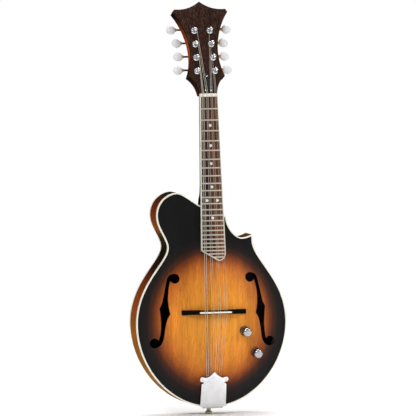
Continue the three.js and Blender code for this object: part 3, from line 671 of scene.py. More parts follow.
rim_finish = stained_finish("stained_rim", [
    (0.040, screen(156, 118, 70)),
    (0.070, screen(154, 106, 50)),
    (0.100, screen(146, 92, 38)),
    (0.140, screen(158, 92, 36)),
    (0.175, screen(152, 76, 32)),
    (0.205, screen(126, 56, 23)),
    (0.225, screen(94, 42, 20)),
    (0.240, screen(42, 26, 18)),
    (0.272, screen(26, 20, 16)),
    (0.292, screen(58, 45, 28)),
    (0.306, screen(146, 82, 32)),
    (0.325, screen(134, 60, 22)),
    (0.350, screen(76, 36, 18)),
    (0.362, screen(34, 23, 19)),
], (1.0, 0.35, 1.0), 300.0, 0.18)
neck_finish = stained_finish("stained_neck", [
    (0.36, screen(24, 19, 17)),
    (0.41, screen(58, 29, 20)),
    (0.45, screen(118, 54, 29)),
    (0.50, screen(116, 52, 28)),
    (0.53, screen(58, 29, 20)),
    (0.555, screen(24, 19, 17)),
    (0.575, screen(124, 56, 26)),
    (0.60, screen(176, 84, 34)),
    (0.625, screen(122, 56, 27)),
    (0.65, screen(24, 19, 17)),
], (1.0, 1.0, 0.04), 420.0, 0.2, top=0.68)

# %% [markdown]
# The fingerboard is oiled rosewood, cut so that it runs from dark brown on the bass side to a
# warmer brown on the treble side. The headstock face is a stained veneer with a blacked edge,
# found by the angle of the face. Bridge and riser are ebonised, with only a trace of grain.

# %% Rosewood, veneer and ebonised wood
BOARD_HALF_WIDTH = 0.019
HEAD_FRONT = Vector((0, -math.cos(math.radians(20.9)), math.sin(math.radians(20.9))))

rosewood, tree, shader = new_finish("rosewood")
spot = place_on(tree)
grain = use_group(tree, wood_grain, Vector=spot, Along=(1.0, 1.0, 0.05), Fineness=620.0)
across = stretch(tree, split_xyz(tree, spot)["X"], -BOARD_HALF_WIDTH, BOARD_HALF_WIDTH)
across = maths(tree, "ADD", across, stretch(tree, grain["Bands"], 0.3, 0.7, -0.25, 0.25))
color = ramp(tree, across, [
    (0.0, screen(36, 24, 20)),
    (0.42, screen(58, 36, 27)),
    (0.72, screen(98, 60, 41)),
    (1.0, screen(124, 80, 54)),
])
streaks = stretch(tree, grain["Lines"], 0.32, 0.68, 0.5, 1.3)
color = mixed(tree, 1.0, color, streaks, "MULTIPLY")
color = mixed(tree, maths(tree, "MULTIPLY", grain["Pores"], 0.6), color, screen(26, 14, 11))
lay_on(tree, shader, color, LACQUER_GLOSS, grain["Lines"], (0.52, 0.4), grain["Lines"], 0.2, 0.0003)

veneer_finish, tree, shader = new_finish("head_veneer")
spot = place_on(tree)
grain = use_group(tree, wood_grain, Vector=spot, Along=(1.0, 0.14, 0.14), Fineness=1300.0)
share = maths(tree, "ADD", grain["Lines"], stretch(tree, grain["Bands"], 0.3, 0.7, -0.04, 0.04))
color = ramp(tree, share, [
    (0.30, screen(20, 15, 14)),
    (0.50, screen(46, 31, 27)),
    (0.70, screen(96, 66, 54)),
])
normal = tree.nodes.new("ShaderNodeTexCoord").outputs["Normal"]
facing = vector_maths(tree, "DOT_PRODUCT", normal, HEAD_FRONT)
color = mixed(tree, stretch(tree, facing, 0.9, 0.97, 1.0, 0.0), color, screen(16, 14, 14))
lay_on(tree, shader, color, EDGE_GLOSS, grain["Bands"], (0.4, 0.32), grain["Lines"], 0.08, 0.0002)

ebonised, tree, shader = new_finish("ebonised_wood")
spot = place_on(tree)
grain = use_group(tree, wood_grain, Vector=spot, Along=(0.06, 1.0, 1.0), Fineness=520.0)
color = ramp(tree, grain["Lines"], [(0.3, screen(9, 8, 8)), (0.7, screen(22, 19, 18))])
lay_on(tree, shader, color, EDGE_GLOSS, grain["Lines"], (0.5, 0.36), grain["Lines"], 0.12, 0.0002)

bare_wood, tree, shader = new_finish("bare_wood")
spot = place_on(tree)
grain = use_group(tree, wood_grain, Vector=spot, Along=(1.0, 1.0, 0.05), Fineness=420.0)
color = ramp(tree, grain["Lines"], [(0.3, screen(128, 90, 54)), (0.7, screen(168, 130, 86))])
color = mixed(tree, maths(tree, "MULTIPLY", grain["Pores"], 0.3), color, screen(110, 72, 42))
lay_on(tree, shader, color, BARE_GLOSS, grain["Bands"], (0.8, 0.66), grain["Lines"], 0.25, 0.0003)
print("wood finishes ready")

# %% [markdown]
# ## Finishes for metal, plastic and bone
#
# Plated metal is never quite even: fingers leave faint smudges that blur the mirror, and
# cloths leave hair scratches. Both come from one group and change only the roughness and,
# very slightly, the relief.

# %% Plated and plain metals
def metal_finish(name, light, dark, roughness, wear, size=90.0, relief=0.04):
    """A metal whose smudges darken and blur it a little."""
    material, tree, shader = new_finish(name)
    spot = place_on(tree)
    marks = use_group(tree, metal_wear, Vector=spot, Size=size)
    feed(tree, shader.inputs["Base Color"], mixed(tree, marks["Smudge"], light, dark))
    blur = maths(tree, "MULTIPLY", marks["Smudge"], wear)
    blur = maths(tree, "ADD", blur, maths(tree, "MULTIPLY", marks["Scratch"], wear * 0.6))
    feed(tree, shader.inputs["Roughness"], maths(tree, "ADD", blur, roughness))
    shader.inputs["Metallic"].default_value = 1.0
    feed(tree, shader.inputs["Normal"], bump(tree, marks["Scratch"], relief, 0.00005))
    return material


chrome = metal_finish("chrome_plate", screen(236, 238, 240), screen(222, 224, 227), 0.10, 0.10)
nickel = metal_finish("nickel_plate", screen(214, 208, 196), screen(192, 184, 168), 0.22, 0.14)
brass = metal_finish("brass", screen(206, 172, 106), screen(170, 134, 76), 0.24, 0.2)
fret_metal = metal_finish("fret_wire", screen(232, 224, 206), screen(210, 202, 184), 0.34, 0.1, 200.0)
plain_steel = metal_finish("plain_string", screen(208, 204, 196), screen(184, 180, 172), 0.42, 0.1, 200.0)
# The knob's knurled side: a darker copy of the plating, painted shade for the knurl's grooves.
knurled = metal_finish("knurl_shaded_nickel", screen(104, 101, 104), screen(76, 74, 77), 0.3, 0.14)
smoked = metal_finish("smoked_chrome", screen(186, 183, 186), screen(160, 157, 160), 0.16, 0.12)
dark_metal = metal_finish("blued_steel", screen(70, 70, 74), screen(48, 48, 52), 0.34, 0.2)

WINDING_PITCH = 0.0003
wound, tree, shader = new_finish("wound_string")
spot = place_on(tree)
turn = maths(tree, "MULTIPLY", split_xyz(tree, spot)["Z"], 2 * math.pi / WINDING_PITCH)
ridge = stretch(tree, maths(tree, "SINE", turn), -1, 1)
marks = use_group(tree, metal_wear, Vector=spot, Size=160.0)
# Painted shade and highlight: darker in the grooves between the wraps, lighter on their crowns.
painted_wrap_shade = mixed(tree, ridge, screen(150, 143, 130), screen(226, 219, 204))
feed(tree, shader.inputs["Base Color"], mixed(tree, marks["Smudge"], painted_wrap_shade, screen(196, 189, 175)))
feed(tree, shader.inputs["Roughness"], stretch(tree, marks["Smudge"], 0, 1, 0.36, 0.5))
shader.inputs["Metallic"].default_value = 1.0
feed(tree, shader.inputs["Normal"], bump(tree, ridge, 0.5, 0.0001))
print("metals ready")

# %% [markdown]
# Plastics are mottled rather than plain. Binding is a warm cream with faint clouding, bone
# has fine pores, and pearloid is cream and white swirled together, which a distorted noise
# gives.

# %% Plastics and bone
def plastic_finish(name, light, dark, size, roughness, coat=0.0, warp=0.0, relief=0.02):
    """A moulded plastic, clouded with a second tone."""
    material, tree, shader = new_finish(name)
    spot = place_on(tree)
    node = tree.nodes.new("ShaderNodeTexNoise")
    feed(tree, node.inputs["Vector"], spot)
    node.inputs["Scale"].default_value = size
    node.inputs["Detail"].default_value = 4
    node.inputs["Distortion"].default_value = warp
    cloud = stretch(tree, node.outputs[0], 0.32, 0.68)
    feed(tree, shader.inputs["Base Color"], mixed(tree, cloud, dark, light))
    feed(tree, shader.inputs["Roughness"], stretch(tree, cloud, 0, 1, roughness + 0.06, roughness))
    shader.inputs["Coat Weight"].default_value = coat
    shader.inputs["Coat Roughness"].default_value = 0.1
    feed(tree, shader.inputs["Normal"], bump(tree, node.outputs[0], relief, 0.0002))
    return material


cream = plastic_finish("cream_binding", screen(238, 234, 220), screen(226, 221, 204), 60, 0.34, 0.2)
bone = plastic_finish("bone", screen(246, 242, 230), screen(233, 226, 208), 420, 0.4, 0.0, 0.0, 0.1)
pearloid = plastic_finish("pearloid", screen(230, 230, 230), screen(206, 206, 209), 150, 0.3, 0.3, 3.0)
black_gloss = plastic_finish("black_gloss", screen(26, 26, 28), screen(18, 18, 19), 120, 0.22, 0.3)
black_matte = plastic_finish("black_fibre", screen(38, 37, 37), screen(26, 25, 25), 500, 0.6, 0, 0, 0.3)
red_cover = plastic_finish("red_wire_cover", screen(170, 44, 38), screen(146, 34, 30), 300, 0.4)
dot_white = plastic_finish("dot_white", screen(250, 249, 244), screen(232, 230, 222), 300, 0.25, 0.3, 1.5)

floor_finish, tree, shader = new_finish("studio_paper")
spot = place_on(tree)
fibre = noise(tree, spot, 900.0, 2)
feed(tree, shader.inputs["Base Color"], mixed(tree, fibre, (0.86, 0.86, 0.86, 1), (0.9, 0.9, 0.9, 1)))
feed(tree, shader.inputs["Roughness"], stretch(tree, fibre, 0.3, 0.7, 0.95, 0.85))
shader.inputs["Specular IOR Level"].default_value = 0.1
floor.data.materials.append(floor_finish)
print("materials:", len(bpy.data.materials))

# %% [markdown]
# ## The sound box
#
# The front is carved from a thick board: flat at the edge, a shallow hollow inside it, then a
# long dome. The height depends on how far a point is from the edge, and fades towards the
# tail and the neck. A grid takes these heights, is smoothed, gets its thickness, and is
# trimmed to the outline.

# %% Body outline and arching
BODY = pattern(
    "M 0 12 C 72 12 127 81 127 150 C 127 220 71 252 70 284 L 69.5 294 "
    "C 64 291 58 289 52 289 C 41 289 26 307 25 324 L -22 344.5 "
    "C -36 354 -49 364.5 -58 364.5 C -71 364.5 -92.3 353 -92.3 327.5 "
    "C -92.3 306 -74 290 -74 274.5 C -74 251 -127 216 -127 150 C -127 81 -72 12 0 12"
)
HALF_DEPTH = 23.0
PLATE_EDGE = 4.4
BINDING = 2.0
RIM_WALL = 3.0
ARCH_FRONT = 14.0
ARCH_BACK = 13.0
ARCH_RUN = 85.0
ARCH_CENTRE = 155.0
ARCH_HALF_WIDTH = 190.0
ARCH_HALF_LENGTH = 175.0
ARCH_EDGE_POWER = 1.5
body_corners = np.array([(p.x, p.z) for p in BODY])


def arch(x, z):
    """Height of the carving above the edge, as a share of its full rise."""
    x, z = np.atleast_1d(x).astype(float), np.atleast_1d(z).astype(float)
    spots = np.stack([x, z], 1)[:, None, :]
    starts = body_corners[None]
    ends = np.roll(body_corners, -1, axis=0)[None]
    along = ends - starts
    share = ((spots - starts) * along).sum(2) / (along ** 2).sum(2)
    nearest = starts + np.clip(share, 0, 1)[..., None] * along
    distance = np.linalg.norm(spots - nearest, axis=2).min(1)
    rises = (starts[..., 1] > z[:, None]) != (ends[..., 1] > z[:, None])
    run = np.where(along[..., 1] == 0, 1.0, along[..., 1])
    crossing = starts[..., 0] + along[..., 0] * (z[:, None] - starts[..., 1]) / run
    inside = (rises & (x[:, None] < crossing)).sum(1) % 2 == 1
    edge = np.sin(math.pi / 2 * np.minimum(1, distance * inside / ARCH_RUN)) ** ARCH_EDGE_POWER
    across = 1 - (x / ARCH_HALF_WIDTH) ** 2
    length = np.maximum(0, 1 - ((z - ARCH_CENTRE) / ARCH_HALF_LENGTH) ** 2)
    return edge * across * length


def front_at(x, z):
    """The y of the carved front at a place on the body."""
    return -HALF_DEPTH - ARCH_FRONT * float(arch(x, z)[0])


print("outline points:", len(BODY), "front is", round(-front_at(0, 155) - HALF_DEPTH, 1), "mm high")

# %% Carved plates
GRID_STEP = 3.2
PLAN_SIZE = (264.0, 362.0)
PLAN_CENTRE = (0.0, 188.0)
SMOOTH_PASSES = 14
FAR = 60.0


def carved_plate(name, side, rise):
    """A carved plate; side is -1 for the front and 1 for the back."""
    counts = [round(size / GRID_STEP) for size in PLAN_SIZE]
    begin()
    bpy.ops.mesh.primitive_grid_add(x_subdivisions=counts[0], y_subdivisions=counts[1], size=1)
    piece = bpy.context.object
    piece.name = name
    spots = np.zeros(len(piece.data.vertices) * 3)
    piece.data.vertices.foreach_get("co", spots)
    spots = spots.reshape(-1, 3)
    x = spots[:, 0] * PLAN_SIZE[0] + PLAN_CENTRE[0]
    z = spots[:, 1] * PLAN_SIZE[1] + PLAN_CENTRE[1]
    y = side * (HALF_DEPTH + rise * arch(x, z))
    piece.data.vertices.foreach_set("co", np.stack([x, y, z], 1).ravel())
    bpy.ops.object.mode_set(mode="EDIT")
    bpy.ops.mesh.select_all(action="SELECT")
    bpy.ops.mesh.vertices_smooth(factor=0.5, repeat=SMOOTH_PASSES, xaxis=False, zaxis=False)
    inwards = (0, -side * PLATE_EDGE, 0)
    bpy.ops.mesh.extrude_region_move(TRANSFORM_OT_translate={"value": inwards})
    face_outwards(piece)
    trim = slab("trim", inset(BODY, BINDING - 0.05), -FAR, FAR)
    return carve(piece, trim, operation="INTERSECT")


soundboard = carved_plate("front_plate", -1, ARCH_FRONT)
back = carved_plate("back_plate_carved", 1, ARCH_BACK)
print("front plate:", len(soundboard.data.polygons), "faces")

# %% [markdown]
# Each sound hole is a slender stem with a round eye at each end and a notch on either side at
# the bridge line. The stem is a pattern, the eyes are turned plugs, and the bass hole mirrors
# the treble one. Two small holes take the shafts of the controls.

# %% Sound holes
SOUND_HOLE = pattern(
    "M 89.5 176 L 85.5 184 C 83 193 80.5 207 76.3 223.5 C 74.5 229.5 70 232.8 63.5 232.2 "
    "L 63.5 218 L 70.8 220.5 C 74 212 75.5 200 75.4 190 C 75.3 181 74 174 72.2 166.7 "
    "L 77.2 158 C 79.5 150 81 140 82.3 130 C 84 119 88.5 111.3 97.5 111.1 "
    "L 97.5 124 L 91.2 122.4 C 88 132 87.2 142 87.4 155 L 88.5 169", step=2.0
)
EYES = [(63.5, 224.5), (97.5, 119.0)]
EYE_RADIUS = 7.9
SHAFT_HOLE = 3.6
KNOB_TILT = math.radians(12)
KNOB_LEAN = Vector((0.68, 0, -0.73)) * math.sin(KNOB_TILT)
KNOB_AXIS = Vector((KNOB_LEAN.x, -math.cos(KNOB_TILT), KNOB_LEAN.z)).normalized()
KNOBS = {"volume": (52.0, 137.0), "tone": (72.0, 101.0)}


def knob_place(x, z):
    """The frame of a control: its Y axis points out of the front."""
    turn = Vector((0, 1, 0)).rotation_difference(KNOB_AXIS).to_matrix().to_4x4()
    return Matrix.Translation((x, front_at(x, z), z)) @ turn


tools = [slab("stem", SOUND_HOLE, -FAR, 0), slab("stem", mirror(SOUND_HOLE), -FAR, 0)]
eye = plug(EYE_RADIUS, -FAR, 0, 64)
for x, z in EYES:
    tools += [copy_of(eye, "eye", Matrix.Translation((side * x, 0, z))) for side in (-1, 1)]
bpy.data.objects.remove(eye)
for spot in KNOBS.values():
    tools.append(put(plug(SHAFT_HOLE, -15, 12, 24), knob_place(*spot)))
carve(soundboard, *tools)
finished(soundboard, front_finish, "body", "soundboard", "soundboard", smooth=math.radians(25))
finished(back, back_finish, "body", "back_plate", "back_plate", smooth=math.radians(25))
print("front with holes:", len(soundboard.data.polygons), "faces")

# %% [markdown]
# The rim is bent from a thin strip. A strip of cream binding is let into each of its edges,
# a hair proud of the wood, and scraped round.

# %% Rim and bindings
JACK_PLACE = Matrix.Translation((127, 0, 150)) @ Matrix.Rotation(-math.pi / 2, 4, "Z")
JACK_HOLE = 6.4
RIM_HALF = HALF_DEPTH - PLATE_EDGE
BINDING_PROUD = 0.12
jack_hole = put(plug(JACK_HOLE, -20, 12, 32), JACK_PLACE)
rim = carve(wall("bent_rim", BODY, -RIM_HALF + 0.02, RIM_HALF - 0.02, RIM_WALL), jack_hole)
finished(rim, rim_finish, "body", "rim", "rim")
for title, node, low, high in (
    ("front_binding", "top_binding", -HALF_DEPTH - 0.1, -RIM_HALF),
    ("rear_binding", "back_binding", RIM_HALF, HALF_DEPTH + 0.1),
):
    strip = wall(title, inset(BODY, -BINDING_PROUD), low, high, BINDING + BINDING_PROUD)
    finished(ease(strip, 0.4, 2), cream, "body", "binding", node)
print("rim is", RIM_HALF * 2, "mm deep between the bindings")

# %% [markdown]
# ## Neck and headstock
#
# Neck and headstock each have a frame of their own, tilted from the body, and everything on
# them is laid out along it: x across, y into the wood, z up from the nut. The neck is drawn
# out of a D-shaped section, ring by ring, from the heel to the nut.

# %% Frames of the neck and headstock
NUT_HALF = 15.0
TAPER = 5.6 / 268
NUT_LENGTH = 5.4
SCALE_LENGTH = 350.0
BOARD_THICK = 6.0
NECK = Matrix.Translation((0, -14, 520.5)) @ Matrix.Rotation(math.radians(-5.4), 4, "X")
HEAD = NECK @ Matrix.Translation((0, 4.5, 6)) @ Matrix.Rotation(math.radians(-15.5), 4, "X")
HEAD_BACK = 15.5
VENEER = 2.2


def board_half(s):
    """Half the width of the fingerboard at s, which is negative towards the body."""
    return NUT_HALF - s * TAPER


# %% Neck
NECK_RINGS = [
    (-206, 54, 0.8, 0.5), (-192, 53.4, 0.82, 0.5), (-180, 52, 0.85, 0.5), (-174, 50, 0.87, 0.5),
    (-168, 45.4, 0.89, 0.52), (-165, 42, 0.9, 0.55), (-161, 37.2, 0.91, 0.6), (-158, 33, 0.92, 0.65),
    (-154, 29.6, 0.94, 0.72), (-150, 27.5, 0.96, 0.8), (-145, 25.8, 0.98, 0.9), (-140, 24.6, 1, 1),
    (-120, 23.2, 1, 1), (-60, 21.6, 1, 1), (5.5, 20, 1, 1),
]
RING_POINTS = 28


def neck_ring(s, depth, waist, fullness):
    """A D-shaped section, flat against the fingerboard; squarer as fullness falls."""
    half = board_half(min(0, s))
    points = []
    for i in range(RING_POINTS + 1):
        angle = math.pi * i / RING_POINTS
        narrow = 1 - (1 - waist) * math.sin(angle)
        deep = BOARD_THICK + (depth - BOARD_THICK) * math.sin(angle) ** 0.85
        across = math.copysign(abs(math.cos(angle)) ** fullness, math.cos(angle))
        points.append(Vector((half * across * narrow, deep, s)))
    return points


def drawn_out(name, rings):
    """A solid drawn out from ring to ring."""
    piece = loop(name, rings[0], "NGON")
    for before, ring in zip(rings, rings[1:]):
        bpy.ops.object.mode_set(mode="EDIT")
        if before is rings[0]:
            bpy.ops.mesh.select_all(action="SELECT")
        bpy.ops.mesh.extrude_region_move(TRANSFORM_OT_translate={"value": (0, 0, 1)})
        bpy.ops.object.mode_set(mode="OBJECT")
        for vertex in piece.data.vertices:
            if vertex.select:
                spot = vertex.co - Vector((0, 0, 1))
                nearest = min(range(len(before)), key=lambda i: (before[i] - spot).length)
                vertex.co = ring[nearest]
    return face_outwards(piece)


HEAD_PATTERN = both_sides(pattern(
    "M 15.4 0 C 16.5 13 23 24 31.2 29.5 L 31.2 31.5 C 27.5 40 23.8 52 23.8 70 "
    "C 23.8 95 33 122 46.6 140.5 L 43.5 145.8 C 27 144.5 14 148 0 159", step=2.5
))
neck = drawn_out("neck_shaft", [neck_ring(*ring) for ring in NECK_RINGS])
put(neck, NECK)
head_core = put(slab("head_core", HEAD_PATTERN, VENEER, HEAD_BACK), HEAD)
carve(neck, head_core, operation="UNION")
carve(neck, slab("body_room", inset(BODY, 0.1), -FAR, FAR))
ease(neck, 0.8, 3, 50)
finished(neck, neck_finish, "body", "neck", "neck", smooth=math.radians(40))
print("neck:", len(neck.data.polygons), "faces")

# %% [markdown]
# The veneer is a thin board on the face of the headstock with its edge blacked and rounded.
# The small bell-shaped cover over the truss rod is held by two screws. A screw is turned
# once, its slot is cut across, and copies go wherever one is needed.

# %% Screws, veneer and rod cover
veneer = slab("veneer_face", HEAD_PATTERN, 0, VENEER + 0.02)
put(ease(veneer, 0.7, 3), HEAD)
finished(veneer, veneer_finish, "body", "veneer", "headstock_veneer")

SCREW_PROFILE = [(0, -0.75), (0.8, -0.68), (1.5, -0.4), (1.75, 0), (1.75, 0.2), (0.8, 0.5), (0.8, 2), (0, 2)]
screw_master = turned("screw_master", SCREW_PROFILE, 24)
for angle in (0, math.pi / 2):
    slot = block("slot", (-1.15, -1.2, -0.2), (1.15, -0.35, 0.2))
    carve(screw_master, put(slot, Matrix.Rotation(angle, 4, "Y")))


def screw(name, matrix, size=1.0, finish=chrome, slot="chrome"):
    """A small cross-head screw; its head looks along -y of the matrix."""
    piece = copy_of(screw_master, name, matrix @ Matrix.Scale(size, 4))
    return finished(piece, finish, "body", slot)


BELL = both_sides(pattern("M 9.2 1.2 C 7 6 5.6 14 5.6 22 C 5.6 29 4 33 0 33", step=1.2))
bell = ease(slab("rod_cover", BELL, -2.1, -0.02), 0.45, 3)
finished(put(bell, HEAD), black_gloss, "body", "black_plastic", "truss_rod_cover")
for number, (x, s) in enumerate([(0, 29.2), (-4.6, 4.6), (4.6, 4.6)]):
    screw(f"rod_cover_screw_{number + 1}", HEAD @ Matrix.Translation((x, -2.1, s)), 0.75)
print("headstock", round(max(p.z for p in HEAD_PATTERN)), "mm long")

# %% [markdown]
# ## Fingerboard
#
# The board ends in a slanting line with a curved point. Its binding is a wall round three
# sides, open at the nut. Frets are half-round wire: a rod is laid across, cut in half along
# its length and its ends are sloped. Their places follow from equal temperament.

# %% Board and binding
BOARD_BINDING = 1.35
BOARD_END_BASS = -252.0
BOARD_END_TREBLE = -256.0
board_path = pattern(
    f"M {-NUT_HALF} 0 L {-board_half(BOARD_END_BASS):.3f} {BOARD_END_BASS} L 4 -266 "
    f"C 6 -267.3 8 -268.6 10.5 -268.5 "
    f"C 16 -268 20.6 -262 {board_half(BOARD_END_TREBLE):.3f} {BOARD_END_TREBLE} L {NUT_HALF} 0",
    step=1.5,
)
board_core = [Vector((p.x, 0, min(0, p.z))) for p in inset(board_path, BOARD_BINDING - 0.03)]
for point in board_core:
    if point.z > -2.5:
        point.z = 0
board = ease(slab("rosewood_board", board_core, 0, BOARD_THICK), 0.15, 1)
finished(put(board, NECK), rosewood, "body", "fingerboard", "fingerboard")
edging = wall("board_binding", board_path, -0.03, BOARD_THICK, BOARD_BINDING, closed=False)
finished(put(ease(edging, 0.3, 2), NECK), cream, "body", "binding", "fingerboard_binding")
print("board", round(board_half(BOARD_END_TREBLE) * 2, 1), "mm wide at its end")

# %% Frets
FRET_COUNT = 24
FRET_RADIUS = 1.05
FRET_HEIGHT = 0.85
DIAGONAL = (20.2, -252.0, 24.2 / 14)


def fret_place(number):
    """Distance of a fret from the nut, by equal temperament."""
    return -SCALE_LENGTH * (1 - 2 ** (-number / 12))


begin()
bpy.ops.mesh.primitive_cylinder_add(vertices=20, radius=FRET_RADIUS, depth=2, rotation=(0, math.pi / 2, 0))
fret_master = bpy.context.object
bpy.ops.object.transform_apply(location=True, rotation=True, scale=True)
bpy.ops.object.mode_set(mode="EDIT")
bpy.ops.mesh.select_all(action="SELECT")
bpy.ops.mesh.bisect(plane_co=(0, 0.12, 0), plane_no=(0, 1, 0), clear_outer=True, use_fill=True)
bpy.ops.object.mode_set(mode="OBJECT")
for number in range(1, FRET_COUNT + 1):
    s = fret_place(number)
    high = board_half(s) - 0.35
    low = -high
    if s < DIAGONAL[1]:
        low = -DIAGONAL[0] + (DIAGONAL[1] - s) * DIAGONAL[2] + 1.2
        high -= max(0, -258 - s) * 0.35
    fret = copy_of(fret_master, f"fret_{number}")
    for vertex in fret.data.vertices:
        end = 1 if vertex.co.x > 0 else -1
        slope = 0.9 * max(0, -vertex.co.y) / FRET_RADIUS
        vertex.co.x = (high if end > 0 else low) - end * slope
        vertex.co.y *= FRET_HEIGHT / FRET_RADIUS
    put(fret, NECK @ Matrix.Translation((0, 0, s)))
    finished(fret, fret_metal, "body", "nickel")
bpy.data.objects.remove(fret_master)
print("12th fret at", round(fret_place(12), 2), "mm")

# %% [markdown]
# White dots mark the third, fifth, seventh, tenth and fifteenth frets, with a pair at the
# twelfth. Smaller black ones on the bass edge of the binding face the player. A dot is a low
# turned button, let into the wood and almost flush.

# %% Position dots
DOT_RADIUS = 2.5
DOTS = {3: [0], 5: [0], 7: [0], 10: [0], 12: [-8.6, 8.6], 15: [0]}
dot_master = turned("dot_master", [(0, -0.1), (0.9, -0.09), (1, -0.02), (1, 0.5), (0, 0.5)], 32)
for number, places in DOTS.items():
    s = (fret_place(number) + fret_place(number - 1)) / 2
    for which, x in enumerate(places):
        size = Matrix.Diagonal((DOT_RADIUS, 1, DOT_RADIUS, 1))
        dot = copy_of(dot_master, f"dot_{number}_{which + 1}", NECK @ Matrix.Translation((x, 0, s)) @ size)
        finished(dot, dot_white, "body", "pearl")
        edge = Matrix.Translation((-board_half(s) + 0.02, 2.6 + 1.6 * which, s))
        turn = Matrix.Rotation(-math.pi / 2, 4, "Z")
        side = copy_of(dot_master, f"side_dot_{number}_{which + 1}", NECK @ edge @ turn)
        finished(side, black_gloss, "body", "black_plastic")
bpy.data.objects.remove(dot_master)
print("dots at frets", sorted(DOTS))

# %% [markdown]
# ## Nut, bridge and saddle
#
# The nut is a small block of bone with eight grooves. The bridge stands free on the front, so
# its feet follow the arching: the pattern's lower edge is worked out from the carving. Its
# top is planed thinner than its feet.

# %% Nut
PAIR_PITCH_BRIDGE = 11.3
PAIR_PITCH_NUT = 7.2
PAIR_HALF_BRIDGE = 1.7
PAIR_HALF_NUT = 1.15
STRING_RADII = {"g": 0.5, "d": 0.36, "a": 0.26, "e": 0.22}
GAP = 0.3
NUT_RISE = 1.9
NUT_GROOVE = 0.55


def string_x(pair, twin, pitch, half):
    """Where a string lies across the instrument."""
    return (pair - 1.5) * pitch + (half if twin else -half)


nut = ease(block("nut_block", (-NUT_HALF, -NUT_RISE, 0.03), (NUT_HALF, 5.9, NUT_LENGTH)), 0.5, 3)
grooves = []
for pair in range(4):
    for twin in (0, 1):
        x = string_x(pair, twin, PAIR_PITCH_NUT, PAIR_HALF_NUT)
        groove = plug(NUT_GROOVE, -4, 8, 12)
        put(groove, Matrix.Translation((x, -NUT_RISE, 0)) @ Matrix.Rotation(math.pi / 2, 4, "X"))
        grooves.append(groove)
carve(nut, *grooves)
finished(put(nut, NECK), bone, "body", "bone", "nut")
print("nut", NUT_HALF * 2, "mm wide")

# %% Bridge
BRIDGE_Z = 169.0
BRIDGE_HALF = 54.5
BRIDGE_TOP = 26.8
SADDLE_HALF = 27.0
SADDLE_TOP = 28.8
SEAT_HALF = 1.35
SEAT_FLOOR = 24.6
FOOT_INNER = 24.0
FOOT_GAP = 0.15
BRIDGE = Matrix.Translation((0, -HALF_DEPTH, BRIDGE_Z)) @ Matrix.Rotation(math.pi / 2, 4, "X")


def foot(x):
    """Height of the carving under the bridge, with a hair's room."""
    return ARCH_FRONT * float(arch(x, BRIDGE_Z)[0]) + FOOT_GAP


foot_line = [Vector((x, 0, foot(x))) for x in np.linspace(FOOT_INNER, BRIDGE_HALF, 12)]
hollow = pattern(f"M 0 19.5 C 8 19.5 20 18.5 {FOOT_INNER} {foot(FOOT_INNER):.3f}", step=2.0)
shoulder = pattern(
    f"M {BRIDGE_HALF} 15 C 46 16.5 40 19 36 22.5 C 33.5 25 31.5 {BRIDGE_TOP} 28.5 {BRIDGE_TOP}",
    step=2.0,
)
right_half = hollow[:-1] + foot_line + shoulder
bridge = slab("bridge_body", both_sides(right_half), -4, 4)
for vertex in bridge.data.vertices:
    vertex.co.y *= np.interp(vertex.co.z, [foot(BRIDGE_HALF), BRIDGE_TOP], [1.0, 0.72])
ease(bridge, 0.9, 3, 40)
seat_end = SADDLE_HALF + 0.1
carve(bridge, block("seat", (-seat_end, -SEAT_HALF, SEAT_FLOOR), (seat_end, SEAT_HALF, 40)))
finished(put(bridge, BRIDGE), ebonised, "body", "ebonised", "bridge")

saddle_path = pattern(
    f"M {-SADDLE_HALF} 24.8 L {SADDLE_HALF} 24.8 L {SADDLE_HALF} {SADDLE_TOP - 1} "
    f"C 9 {SADDLE_TOP + 0.33} -9 {SADDLE_TOP + 0.33} {-SADDLE_HALF} {SADDLE_TOP - 1}",
    step=2.5,
)
saddle = ease(slab("saddle_strip", saddle_path, -1.3, 1.3), 0.5, 3)
finished(put(saddle, BRIDGE), bone, "body", "bone", "saddle")
print("bridge feet", round(BRIDGE_HALF - FOOT_INNER, 1), "mm wide")

# %% [markdown]
# ## Tailpiece
#
# The cover is pressed from thin plate and chromed: a rounded tray with two ears and a pointed
# top. It slides up the slope over the hooks. A shallow groove frames its face, cut with a
# thin bent strip, and the tray is hollowed from behind.

# %% Tailpiece cover
COVER_SLOPE = math.radians(11.2)
COVER = Matrix.Translation((0, -28, 13)) @ Matrix.Rotation(COVER_SLOPE, 4, "X")
COVER_TRAY = 5.0
COVER_WALL = 1.1
EAR_X = (-20.0, 20.0)
EAR_Z = 46.2
COVER_PATTERN = both_sides(pattern(
    "M 21.8 0 L 20.8 38.5 L 17.8 39.6 C 17.2 41 18 42 19.6 42 C 22.2 42 24 43.8 24 46.2 "
    "C 24 48.6 22.2 50.4 19.8 50.4 C 17.5 50.4 16 49 14 49 C 9.5 49.5 5 53 0 59", step=1.2
))
FRAME_PATTERN = both_sides(pattern("M 18.6 3.2 L 17.8 34 C 17.8 40 11 43 0 51.5", step=1.5))
tray = slab("cover_shell", COVER_PATTERN, 0, COVER_TRAY)
inside = slab("cover_inside", inset(COVER_PATTERN, COVER_WALL), COVER_WALL, COVER_TRAY + 1)
carve(tray, inside)
carve(tray, block("string_way", (-15, COVER_WALL, 40), (15, COVER_TRAY + 1, 70)))
carve(tray, block("base_way", (-18, 1.8, -1), (18, COVER_TRAY + 1, 2)))
ease(tray, 0.5, 3, 50)
carve(tray, wall("frame_groove", FRAME_PATTERN, -1, 0.35, 0.8))
dimples = [turned("dimple", [(0, -1), (1.7, -1), (1.7, 0.35), (1.2, 0.6), (0, 0.6)], 24) for _ in EAR_X]
carve(tray, *[put(dimple, Matrix.Translation((x, 0, EAR_Z))) for dimple, x in zip(dimples, EAR_X)])
finished(put(tray, COVER), chrome, "cover", "chrome", "tailpiece_cover")
print("cover:", len(tray.data.polygons), "faces")
